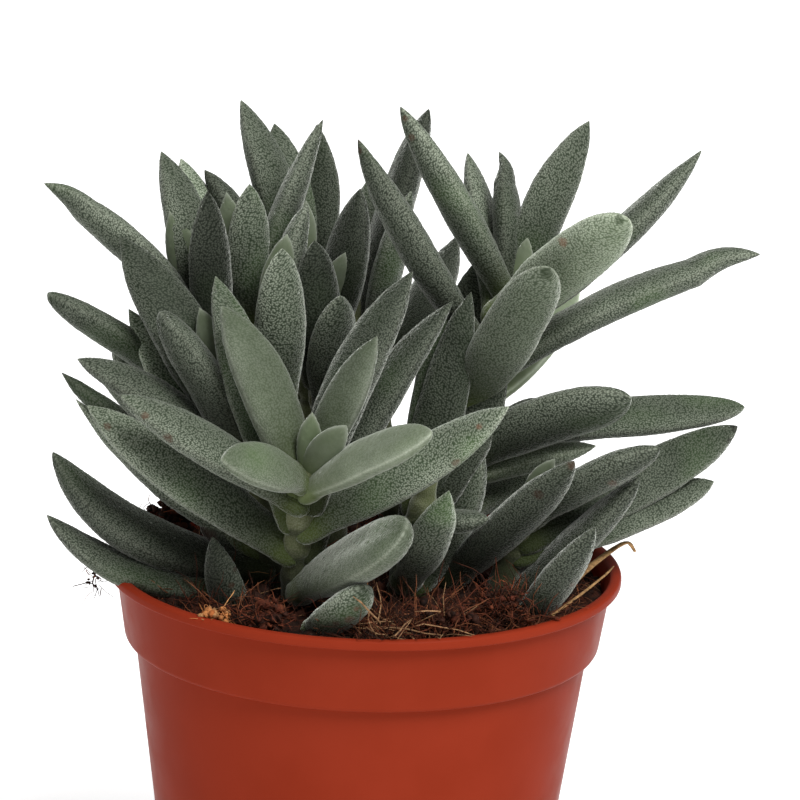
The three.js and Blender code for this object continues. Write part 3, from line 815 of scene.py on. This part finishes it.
def smoothed(knots, z):
    """x and y of a stem's line at heights z: straight runs between the knots, averaged over the
    rings near by with a raised cosine as weight."""
    weights = np.hanning(2 * SMOOTHING + 1)
    weights /= weights.sum()
    beyond = (z[1] - z[0]) * np.arange(1, SMOOTHING + 1)
    wide = np.concatenate([z[0] - beyond[::-1], z, z[-1] + beyond])
    return [np.convolve(np.interp(wide, knots[:, 2], knots[:, n]), weights, "valid") for n in (0, 1)]


def humps(z, middles, reach):
    """The sum of exp(-((z - middle) / reach)^2) over the middles, up to 1."""
    return np.clip(sum(np.exp(-(((z - middle) / reach) ** 2)) for middle in middles), 0, 1)


def stem_surface(path, nodes, seed):
    """A stem's points, faces, tint, down and places on the skin: circles on a smoothed line, which
    swell into a collar at the nodes, where leaves clasp it, with painted shade just below. Painted
    shade also darkens the stems towards the soil."""
    knots = np.array(path, float)
    low, high = knots[0, 2] - STEM_ROOT, knots[-1, 2]
    z = np.linspace(low, high, int((high - low) / STEM_STEP))
    centre = np.stack(smoothed(knots, z), -1)
    collar = humps(z, nodes, COLLAR_REACH)
    end = np.sqrt(np.clip((high - z) / TIP_ROUNDING, 0.02, 1))
    radius = (stem_radius(path, z) + COLLAR * collar) * end
    angle = angles(STEM_SIDES)
    points = np.empty((len(z), STEM_SIDES, 3))
    points[..., :2] = centre[:, None] + radius[:, None, None] * circle(angle)
    points[..., 2] = z[:, None]
    bumps = layered_noise(points, STEM_BUMPS, seed) * end[:, None]
    points[..., :2] += circle(angle) * bumps[..., None]

    # painted shade just below each collar and on the stem towards the soil
    crease_shade = humps(z, [node - CREASE_DROP for node in nodes], CREASE_REACH)
    shade = 0.7 * crease_shade + smoothstep(LIGHT_ABOVE, DARK_BELOW, z - SOIL_TOP)
    shade = np.clip(shade, 0, 1)[:, None]
    tint = blend(STEM_TINT, STEM_SHADE, shade[..., None])
    tint = tint * (1 + 0.2 * lattice_noise(points, 2, seed + 2))[..., None]
    down = 0.6 + 0.15 * collar[:, None] + 0.25 * lattice_noise(points, 1.5, seed + 3)
    down = down * (1 - 0.75 * shade)
    skin = skin_places(z[:, None], STEM_RADIUS * (np.pi - np.abs(angle - np.pi)))
    return (
        listed(points, [[*centre[0], z[0] - 0.2], [*centre[-1], z[-1] + 0.1]]),
        closed_tube(len(z), STEM_SIDES),
        listed(tint, tint[[0, -1], 0]),
        np.concatenate([down.ravel(), STEM_END_DOWN]),
        listed(skin, skin[[0, -1], 0]),
    )


def grow_stems():
    """A stem for each shoot, and the small new leaves round its growing tip."""
    seed = 5000
    for shoot, (path, new_tips) in SHOOTS.items():
        nodes = sorted({height - COLLAR_DROP for grown, height, *_ in LEAVES + MORE_LEAVES if grown == shoot})
        seed += 10
        surface = stem_surface(path, nodes, seed)
        make_skinned(f"{shoot}_stalk", f"{shoot}_stem", "stem", surface, STEM_VELVET, tone=1)
        foot = np.array(path[-1], float) - stem_at(path, path[-1][2])[1]
        for count, tip in enumerate(new_tips, 1):
            tip = np.array(tip, float)
            shape = (0.3 * np.linalg.norm(tip - foot) + 1, 0, 0, 0)
            make_leaf(f"{shoot}_new_{count}", foot, tip, YOUNG_LEAF_FACING, shape, FINE_PITCH,
                      seed + count, NEW_LEAF_YOUTH)


# ---------------------------------------------------------------- pot

POT_SIDES = 160
SPOKE_STEPS = 12
ARC_STEPS = 6
WALL_STEP = 4               # rough distance between points along a straight run of the outline
FLOOR_BORDER = 3            # how far in from the wall the floor starts
SAME_PLACE = 1e-4


def pot_profile():
    """The wall's outline, as (radius, height) points from the underside's edge up the outside,
    over the rolled lip and down the inside. Each corner is rounded by a Bezier line that starts
    and ends that far from it."""
    body_floor = blend(BASE_RADIUS, BODY_TOP_RADIUS, FLOOR / COLLAR_LEVEL) - WALL
    # (radius, height, rounding in mm)
    knots = [
        (BASE_RADIUS - 0.05, 0, 1.1),
        (BODY_TOP_RADIUS, COLLAR_LEVEL + 0.3, 0.5),
        (BAND_BOTTOM_RADIUS - 0.1, COLLAR_LEVEL + 0.1, 1.0),
        (BAND_TOP_RADIUS, LIP_LEVEL + 0.1, 0.35),
        (LIP_RADIUS, LIP_LEVEL + 0.15, 0.45),
        (LIP_RADIUS, POT_HEIGHT, 0.75),
        (LIP_RADIUS - 1.7, POT_HEIGHT, 0.7),
        (MOUTH_RADIUS, LIP_LEVEL - 0.4, 0.4),
        (BAND_BOTTOM_RADIUS - WALL, COLLAR_LEVEL + CORNER, 0.6),
        (BODY_TOP_RADIUS - WALL, COLLAR_LEVEL - CORNER, 0.6),
        (body_floor, FLOOR, 0.9),
    ]
    start, end = np.array([BASE_RADIUS - FLOOR_BORDER, 0.0]), np.array([body_floor - FLOOR_BORDER, FLOOR])
    corners = [start] + [np.array(knot[:2], float) for knot in knots] + [end]
    points = [start]
    t = np.linspace(0, 1, ARC_STEPS)[:, None]
    for before, here, after, (_, _, rounding) in zip(corners, corners[1:], corners[2:], knots):
        a = here + unit(before - here) * rounding
        b = here + unit(after - here) * rounding
        steps = max(2, int(np.linalg.norm(a - points[-1]) / WALL_STEP))
        points.extend(blend(points[-1], a, np.linspace(0, 1, steps)[1:-1, None]))
        points.extend(bent(t, a, here, b))
    points.append(end)
    return np.array(points)


def pot_floor_sector(sector, rim_low, rim_high):
    """A quarter of the floor round its drain hole: rings blend from the quarter's edge to the
    hole's circle on the underside, then up the hole and back out on the upper side."""
    middle = 2 * np.pi * (sector + 0.5) / DRAIN_COUNT
    half = np.pi / DRAIN_COUNT
    rim = circle(middle + np.linspace(-half, half, POT_SIDES // DRAIN_COUNT + 1))
    spoke = np.linspace(0, 1, SPOKE_STEPS + 1)[:-1, None]

    def edge(radius):
        """The quarter's outline: out along one spoke, along the rim and back along the other."""
        return np.concatenate([spoke * radius * rim[0], radius * rim, spoke[:0:-1] * radius * rim[-1]])

    centre = DRAIN_RING_RADIUS * circle(middle)
    low, high = edge(rim_low), edge(rim_high)
    hole = centre + unit(low - centre) * DRAIN_RADIUS
    # (where a ring starts, its share of the way to the hole, height)
    steps = [(low, 0, 0), (low, 0.5, 0), (low, 0.94, 0), (low, 1, 0.15), (high, 1, FLOOR - 0.15),
             (high, 0.94, FLOOR), (high, 0.5, FLOOR), (high, 0, FLOOR)]
    rings = [
        np.concatenate([blend(outer, hole, share), np.full((len(outer), 1), level)], axis=1)
        for outer, share, level in steps
    ]
    return np.concatenate(rings), patches(len(rings), len(low)).reshape(-1, 4)


def merged(points, faces):
    """Points that lie together become one, and the faces follow."""
    places = np.round(points / SAME_PLACE).astype(np.int64)
    _, keep, which = np.unique(places, axis=0, return_index=True, return_inverse=True)
    return points[keep], which.ravel()[faces]


def make_pot():
    """The pot: its profile turned about Z, and a floor with four drain holes."""
    profile = pot_profile()
    points = [turned(profile, POT_SIDES).reshape(-1, 3)]
    faces = [patches(len(profile), POT_SIDES).reshape(-1, 4)]
    for sector in range(DRAIN_COUNT):
        floor_points, floor_faces = pot_floor_sector(sector, profile[0, 0], profile[-1, 0])
        faces.append(floor_faces[:, ::-1] + sum(len(p) for p in points))
        points.append(floor_points)
    points, faces = merged(np.concatenate(points), np.concatenate(faces))
    make_piece("nursery_pot", points, faces, POT_PLASTIC, "pot", ("pot",))


# ---------------------------------------------------------------- soil

SOIL_RINGS, SOIL_SIDES = 130, 300
SOIL_GAP = 0.3              # between the soil and the pot's wall and floor, so that they don't cross
MOUTH_GAP = 0.35
SOIL_LUMPS = [(0.9, 6), (0.7, 2.6), (0.35, 1.1)]    # layers of noise, in mm
SOIL_LIFT = 0.4


def soil_height(x, y):
    """Level of the soil: flat in the middle, lower at the wall, with lumps of three sizes."""
    edge = smoothstep(SOIL_FLAT_RADIUS, MOUTH_RADIUS, np.hypot(x, y))
    flat = np.stack([x, y, np.zeros_like(x)], -1)
    rough = np.clip(layered_noise(flat, SOIL_LUMPS, 1), -1.2, 2)
    return blend(SOIL_TOP, SOIL_EDGE, edge) + SOIL_LIFT + rough


def on_soil(x, y, above=0.0):
    """Points at those places on the soil, or that far above it."""
    return np.stack([x, y, soil_height(x, y) + above], -1)


def make_soil():
    """The soil: a polar grid on its lumpy top, closed by a wall and floor inside the pot."""
    reach = (MOUTH_RADIUS - MOUTH_GAP) * np.linspace(0, 1, SOIL_RINGS + 1)[1:]
    top = on_soil(*np.moveaxis(reach[:, None, None] * circle(angles(SOIL_SIDES)), -1, 0))
    # (radius, height) down the pot's inside and in towards the middle of its floor
    walls = [
        (BAND_BOTTOM_RADIUS - WALL - SOIL_GAP, COLLAR_LEVEL + CORNER + SOIL_GAP),
        (BODY_TOP_RADIUS - WALL - 0.5, COLLAR_LEVEL - CORNER),
        (BASE_RADIUS - WALL - SOIL_GAP, FLOOR + SOIL_GAP),
        (12, FLOOR + SOIL_GAP),
    ]
    rings = np.concatenate([top, turned(walls, SOIL_SIDES)])
    middle = on_soil(np.zeros(1), np.zeros(1))[0]
    points = listed(rings, [middle, [0, 0, FLOOR + SOIL_GAP]])
    make_piece("potting_soil", points, closed_tube(len(rings), SOIL_SIDES), SOIL, "soil", ("soil",))


# ---------------------------------------------------------------- what lies on the soil

FIBRE_STEPS, FIBRE_SIDES = 7, 3
LUMP_RINGS, LUMP_SIDES = 4, 6
STALK_RINGS = 60
STALK_SMOOTHINGS = 60       # how often a stalk's line is averaged with its neighbours
SOIL_REACH = 39
FIBRE_SAG = 0.06
FIBRE_ROOM = 2.5            # how far inside the pot's mouth every fibre starts
WALL_ROOM = 0.5             # and how far it stays off the wall
START_DEPTH = 0.4           # how deep in the soil a fibre may start
RUN_DEPTH = 0.3             # and how deep it may run on
HEADING_SPREAD = [1, 1, 0.25]       # fibres head mostly along the soil, and a little upwards
HEADING_LIFT = [0, 0, 0.05]
TUFT_CURL, TUFT_SAG = 0.3, 0.05
FIBRE_LEAN = [0.31, 0.2, 0.93]
STALK_LEAN = [0.1, 0.2, 1.0]

COIR = np.array([linear(96, 46, 30), linear(60, 32, 22), linear(124, 66, 42), linear(34, 20, 14)])
AMBER = np.array([linear(196, 128, 74), linear(168, 96, 48), linear(206, 150, 96)])
PEAT = np.array([linear(30, 19, 14), linear(46, 27, 19), linear(18, 12, 9), linear(70, 38, 26)])
FIBRES = np.array([linear(44, 26, 18), linear(78, 40, 26), linear(108, 54, 34), linear(140, 86, 56)])
PALE_FIBRE = linear(184, 142, 102)
ALL_FIBRES = np.array([*FIBRES, PALE_FIBRE])
STRAW = linear(176, 138, 92)


def rings_about(along, lean, sides, flatness=1.0):
    """Circles of radius one square to each direction in along, or ovals, squeezed by flatness in
    the direction that lean comes nearest to."""
    aside = unit(np.cross(along, lean) + 1e-9)[..., None, :]
    other = np.cross(along[..., None, :], aside)
    angle = angles(sides)[:, None]
    return aside * np.cos(angle) + flatness * other * np.sin(angle)


def repeated(points, faces):
    """The same faces for each of many shapes, whose points are shapes x points x 3."""
    count, each = points.shape[:2]
    faces = faces[None] + (np.arange(count) * each)[:, None, None]
    return points.reshape(-1, 3), faces.reshape(-1, 3)


def strands(starts, headings, lengths, radii, curl, sag, seed):
    """Thin strands, three-sided, as one set of points and faces. Each goes on from its start in
    steps; its heading turns a little more each step (curl) and drops (sag)."""
    chance = np.random.default_rng(seed)
    count = len(starts)
    heading = unit(headings)
    turn = chance.normal(0, curl, (count, 3))
    place = starts
    line = [place]
    for _ in range(FIBRE_STEPS - 1):
        heading = unit(heading + turn + chance.normal(0, curl * 0.5, (count, 3)) + np.array([0, 0, -sag]))
        place = place + heading * (lengths / (FIBRE_STEPS - 1))[:, None]
        line.append(place)
    line = np.stack(line, axis=1)
    along = unit(np.gradient(line, axis=1))
    thin = np.interp(np.arange(FIBRE_STEPS), [0, 1, FIBRE_STEPS - 2, FIBRE_STEPS - 1], [0.7, 1, 0.8, 0.3])
    radius = radii[:, None, None, None] * thin[None, :, None, None]
    rings = line[:, :, None] + rings_about(along, FIBRE_LEAN, FIBRE_SIDES) * radius
    points = np.concatenate([rings.reshape(count, -1, 3), line[:, [0, -1]]], axis=1)
    return repeated(points, closed_tube(FIBRE_STEPS, FIBRE_SIDES))


def lumps(centres, sizes, seed):
    """Rough crumbs, one at each centre: a small sphere stretched by three random amounts, turned
    at random, with each corner pushed in or out by about a third at most."""
    chance = np.random.default_rng(seed)
    count = len(centres)
    polar = np.pi * (np.arange(LUMP_RINGS) + 1) / (LUMP_RINGS + 1)
    ball = listed(turned(np.stack([np.sin(polar), np.cos(polar)], -1), LUMP_SIDES), [[0, 0, 1], [0, 0, -1]])
    rough = ball[None] * chance.uniform(0.65, 1.3, (count, len(ball), 1))
    corner = rough * chance.uniform(0.5, 1, (count, 1, 3))
    turn = np.linalg.qr(chance.normal(size=(count, 3, 3)))[0]
    turn[:, :, 0] *= np.sign(np.linalg.det(turn))[:, None]
    points = np.einsum("nij,npj->npi", turn, corner) * sizes[:, None, None] + centres[:, None]
    return repeated(points, closed_tube(LUMP_RINGS, LUMP_SIDES))


def pulled_in(x, y, limit):
    """Places pulled in to stay within a circle about the pot's middle."""
    share = np.minimum(1, limit / np.maximum(np.hypot(x, y), 1e-6))
    return x * share, y * share


def strewn(chance, count, spread, centre=(0, 0)):
    """Places strewn evenly over a disc."""
    reach = spread * np.sqrt(chance.random(count))
    way = chance.uniform(0, 2 * np.pi, count)
    return centre[0] + reach * np.cos(way), centre[1] + reach * np.sin(way)


def picked(chance, colours, count, dim, bright):
    """A colour for each of count things, each made darker or lighter by a random share."""
    return colours[chance.integers(0, len(colours), count)] * chance.uniform(dim, bright, count)[:, None]


def per_point(colours, points):
    """The colour of each shape, for every one of its points."""
    return np.repeat(colours, len(points) // len(colours), axis=0)


def lay(name, points, faces, tint):
    """A loose piece on the soil."""
    make_piece(name, points, faces, FIBRE, "soil", (), tint)


def scatter_fibres(name, count, centre, spread, rise, length, radius, seed, curl=0.3, colours=FIBRES):
    """Strands that start over a patch of the soil and head every way. They stay on the soil and
    within the pot's mouth or, above it, within the lip."""
    chance = np.random.default_rng(seed)
    x, y = pulled_in(*strewn(chance, count, spread, centre), MOUTH_RADIUS - FIBRE_ROOM)
    starts = on_soil(x, y, chance.uniform(-START_DEPTH, rise, count))
    headings = chance.normal(0, 1, (count, 3)) * HEADING_SPREAD + HEADING_LIFT
    lengths = length * chance.uniform(0.4, 1.5, count)
    radii = radius * chance.uniform(0.6, 1.4, count)
    points, faces = strands(starts, headings, lengths, radii, curl, FIBRE_SAG, seed + 1)
    x, y, z = points.T
    x, y = pulled_in(x, y, np.where(z < POT_HEIGHT + 0.2, MOUTH_RADIUS - WALL_ROOM, LIP_RADIUS))
    points = np.stack([x, y, np.maximum(z, soil_height(x, y) - RUN_DEPTH)], -1)
    lay(name, points, faces, per_point(picked(chance, colours, count, 0.6, 1.1), points))


def scatter_crumbs(name, count, size, seed):
    """Crumbs of peat and bark all over the soil, half sunk in it."""
    chance = np.random.default_rng(seed)
    x, y = strewn(chance, count, SOIL_REACH)
    sizes = size * chance.uniform(0.4, 1.6, count)
    x, y = pulled_in(x, y, MOUTH_RADIUS - sizes)
    points, faces = lumps(on_soil(x, y, 0.2 * sizes), sizes, seed + 1)
    lay(name, points, faces, per_point(picked(chance, PEAT, count, 0.6, 1.1), points))


def clump(name, centre, reach, crumbs, hairs, colours, seed, size=0.8):
    """A tuft of matted fibre that stands on the soil: crumbs of that size within an ellipsoid of
    that reach, and curly strands that start inside it and head outwards."""
    chance = np.random.default_rng(seed)
    centre, reach = np.array(centre, float), np.array(reach, float)

    def within(count):
        """Points in the ellipsoid, as centre + direction * reach * the root of a random number."""
        return centre + unit(chance.normal(size=(count, 3))) * chance.random((count, 1)) ** 0.5 * reach

    body = within(crumbs)
    sizes = size * chance.uniform(0.4, 1.3, crumbs)
    points, faces = lumps(body, sizes, seed + 1)
    tone = picked(chance, colours, crumbs, 0.55, 1.05)
    start = within(hairs)
    heading = unit(start - centre + chance.normal(0, 0.6, (hairs, 3)) * reach)
    lengths = chance.uniform(1.2, 4.2, hairs)
    radii = chance.uniform(0.04, 0.11, hairs)
    hair, hair_faces = strands(start, heading, lengths, radii, TUFT_CURL, TUFT_SAG, seed + 2)
    hair_tone = picked(chance, colours, hairs, 0.8, 1.5)
    tint = np.concatenate([per_point(tone, points), per_point(hair_tone, hair)])
    faces = np.concatenate([faces, hair_faces + len(points)])
    lay(name, np.concatenate([points, hair]), faces, np.minimum(tint, 1))


def dry_stalk(name, knots, radius, sides, colour, seed):
    """A dry stalk: ovals along a line through its knots that is smoothed over and over, and a
    radius that falls with the square of the way along it."""
    knots = np.array(knots, float)
    share = np.linspace(0, 1, STALK_RINGS)
    stations = np.linspace(0, 1, len(knots))
    line = np.stack([np.interp(share, stations, knots[:, n]) for n in range(3)], -1)
    for _ in range(STALK_SMOOTHINGS):
        line[1:-1] = (line[:-2] + 2 * line[1:-1] + line[2:]) / 4
    thick = radius * (1 - 0.55 * share**2)
    ring = rings_about(unit(np.gradient(line, axis=0)), STALK_LEAN, sides, flatness=0.6)
    points = line[:, None] + ring * thick[:, None, None]
    points = points + 0.06 * lattice_noise(points, 0.8, seed)[..., None]
    tint = colour * (1 + 0.3 * lattice_noise(points * [1, 1, 3], 1.5, seed + 1))[..., None]
    points, tint = listed(points, line[[0, -1]]), listed(tint, [colour, colour])
    lay(name, points, closed_tube(STALK_RINGS, sides), tint)


STRAW_KNOTS = [(30, -15, 70), (33, -12, 72.2), (36.5, -7, 74.4), (40.2, -3, 76), (43.4, 0, 77.6),
               (44.6, 1, 75)]
LOW_STRAW_KNOTS = [(30, -25, 71.6), (36, -15, 73), (39.8, -6, 73.2), (41.2, 0, 72.6)]
LEFT_THREAD_KNOTS = [(-39, -14, 71.5), (-42, -13.5, 74), (-44.5, -12.5, 73.4), (-45.7, -12, 72)]
LOW_THREAD_KNOTS = [(-39.5, -13, 72), (-43, -12.5, 73), (-44, -12, 70.5), (-43.6, -12, 68)]


def dress_soil():
    """Everything loose on the soil: crumbs, fibres, tufts, and a few straws and threads."""
    scatter_crumbs("peat_fine", 900, 0.5, 61)
    scatter_crumbs("peat_coarse", 260, 1.2, 65)
    # name, count, centre, spread, rise, length, radius, seed
    scatter_fibres("coir_fine", 1800, (0, 0), 38, 0.8, 4.5, 0.07, 11, curl=0.45)
    scatter_fibres("coir_long", 380, (0, 0), 38, 0.8, 8, 0.09, 21, colours=ALL_FIBRES)
    scatter_fibres("coir_front", 420, (8, -33), 10, 1.8, 8, 0.09, 31, curl=0.6)
    scatter_fibres("coir_bright", 30, (6, -36), 5, 2.6, 14, 0.15, 36, curl=0.4, colours=PALE_FIBRE[None])
    scatter_fibres("coir_right", 420, (26, -24), 9, 2.0, 7, 0.09, 41, curl=0.6)
    scatter_fibres("coir_left", 240, (-22, -28), 9, 1.4, 6, 0.08, 46, curl=0.6)
    # name, centre, reach, crumbs, hairs, colours, seed
    clump("clump_amber", (-22.7, -32.5, 72), (2.6, 1.8, 1.9), 40, 20, AMBER, 71)
    clump("clump_front_left", (-15, -32.5, 72), (3.0, 2.6, 3.2), 60, 160, COIR, 81)
    clump("clump_left", (-33, 4, 75), (6.0, 4.0, 4.8), 190, 160, COIR, 91, size=1.0)
    clump("clump_front", (13, -31, 72), (6.0, 3.0, 2.2), 60, 160, COIR, 101)
    clump("clump_right", (21.5, -25, 73), (4.4, 3.2, 3.8), 90, 300, COIR, 111, size=0.5)
    # name, knots, radius, sides, colour, seed
    dry_stalk("straw", STRAW_KNOTS, 0.7, 8, STRAW, 121)
    dry_stalk("straw_low", LOW_STRAW_KNOTS, 0.3, 6, STRAW, 131)
    clump("clump_thread", (-43.6, -12.5, 70.5), (1.3, 1.0, 2.2), 9, 16, COIR[1:], 95, size=0.4)
    dry_stalk("thread_left", LEFT_THREAD_KNOTS, 0.18, 4, COIR[1], 141)
    dry_stalk("thread_low", LOW_THREAD_KNOTS, 0.16, 4, COIR[1], 151)


# ---------------------------------------------------------------- camera, light and floor

VIEW_DISTANCE = 600
VIEW_HEIGHT = 99.6          # the level that the view is centred on, in mm
VIEW_ELEVATION = 14.5
VIEW_YAW = 0.46
VIEW_ROLL = 2.13
FOCAL_PIXELS = 3673
PICTURE_WIDTH = 800
SENSOR = 36
NEAREST, FARTHEST = 0.01, 100
SURROUND_LIGHT = 0.25
GROUND_REACH = 6.0          # in metres

# (name, azimuth, elevation, strength, softness), with angles in degrees
LIGHTS = [
    ("key", 34, 52, 3.3, 30),
    ("top", 0, 86, 0.4, 80),
]


def make_camera():
    """The camera looks down at the plant by its elevation, then turns by yaw and roll."""
    elevation, yaw, roll = (math.radians(a) for a in (VIEW_ELEVATION, VIEW_YAW, VIEW_ROLL))
    forward = Vector((0, math.cos(elevation), -math.sin(elevation)))
    up = Vector((0, math.sin(elevation), math.cos(elevation)))
    right = Vector((1, 0, 0))
    place = (Vector((0, 0, VIEW_HEIGHT)) - forward * VIEW_DISTANCE) * MM
    look = forward * math.cos(yaw) + right * math.sin(yaw)
    aside = right * math.cos(yaw) - forward * math.sin(yaw)
    x_axis = aside * math.cos(roll) + up * math.sin(roll)
    y_axis = up * math.cos(roll) - aside * math.sin(roll)
    data = bpy.data.cameras.new("camera")
    data.sensor_width = SENSOR
    data.lens = FOCAL_PIXELS / PICTURE_WIDTH * SENSOR
    data.clip_start, data.clip_end = NEAREST, FARTHEST
    camera = add_object("camera", data)
    camera.matrix_world = Matrix.Translation(place) @ Matrix((x_axis, y_axis, -look)).transposed().to_4x4()
    bpy.context.scene.camera = camera


def make_light(name, azimuth, elevation, strength, softness):
    """A broad distant light from that direction; softness is the angle that it fills."""
    data = bpy.data.lights.new(name, "SUN")
    data.energy = strength
    data.angle = math.radians(softness)
    light = add_object(name, data)
    a, e = math.radians(azimuth), math.radians(elevation)
    towards = Vector((math.sin(a) * math.cos(e), -math.cos(a) * math.cos(e), math.sin(e)))
    light.rotation_euler = towards.to_track_quat("Z", "Y").to_euler()


def make_studio():
    """A pale floor, an even white surround, and two broad lights."""
    world = bpy.data.worlds.new("studio")
    bpy.context.scene.world = world
    world.use_nodes = True
    surround = world.node_tree.nodes["Background"].inputs
    surround["Color"].default_value = (1, 1, 1, 1)
    surround["Strength"].default_value = SURROUND_LIGHT
    for light in LIGHTS:
        make_light(*light)
    mesh = bpy.data.meshes.new("floor")
    corners = [(x * GROUND_REACH, y * GROUND_REACH, 0) for x, y in ((-1, -1), (1, -1), (1, 1), (-1, 1))]
    mesh.from_pydata(corners, [], [(0, 1, 2, 3)])
    floor = add_object("floor", mesh)
    paper = Finish("white paper")
    paper.set(Base_Color=np.full(3, 0.65), Roughness=0.9, Specular_IOR_Level=0.1)
    paper.set(Emission_Color=np.ones(3), Emission_Strength=0.72)
    mesh.materials.append(paper.material)
    bpy.context.scene.view_settings.view_transform = "Standard"


make_camera()
make_studio()
make_pot()
make_soil()
grow_stems()
grow_leaves()
dress_soil()
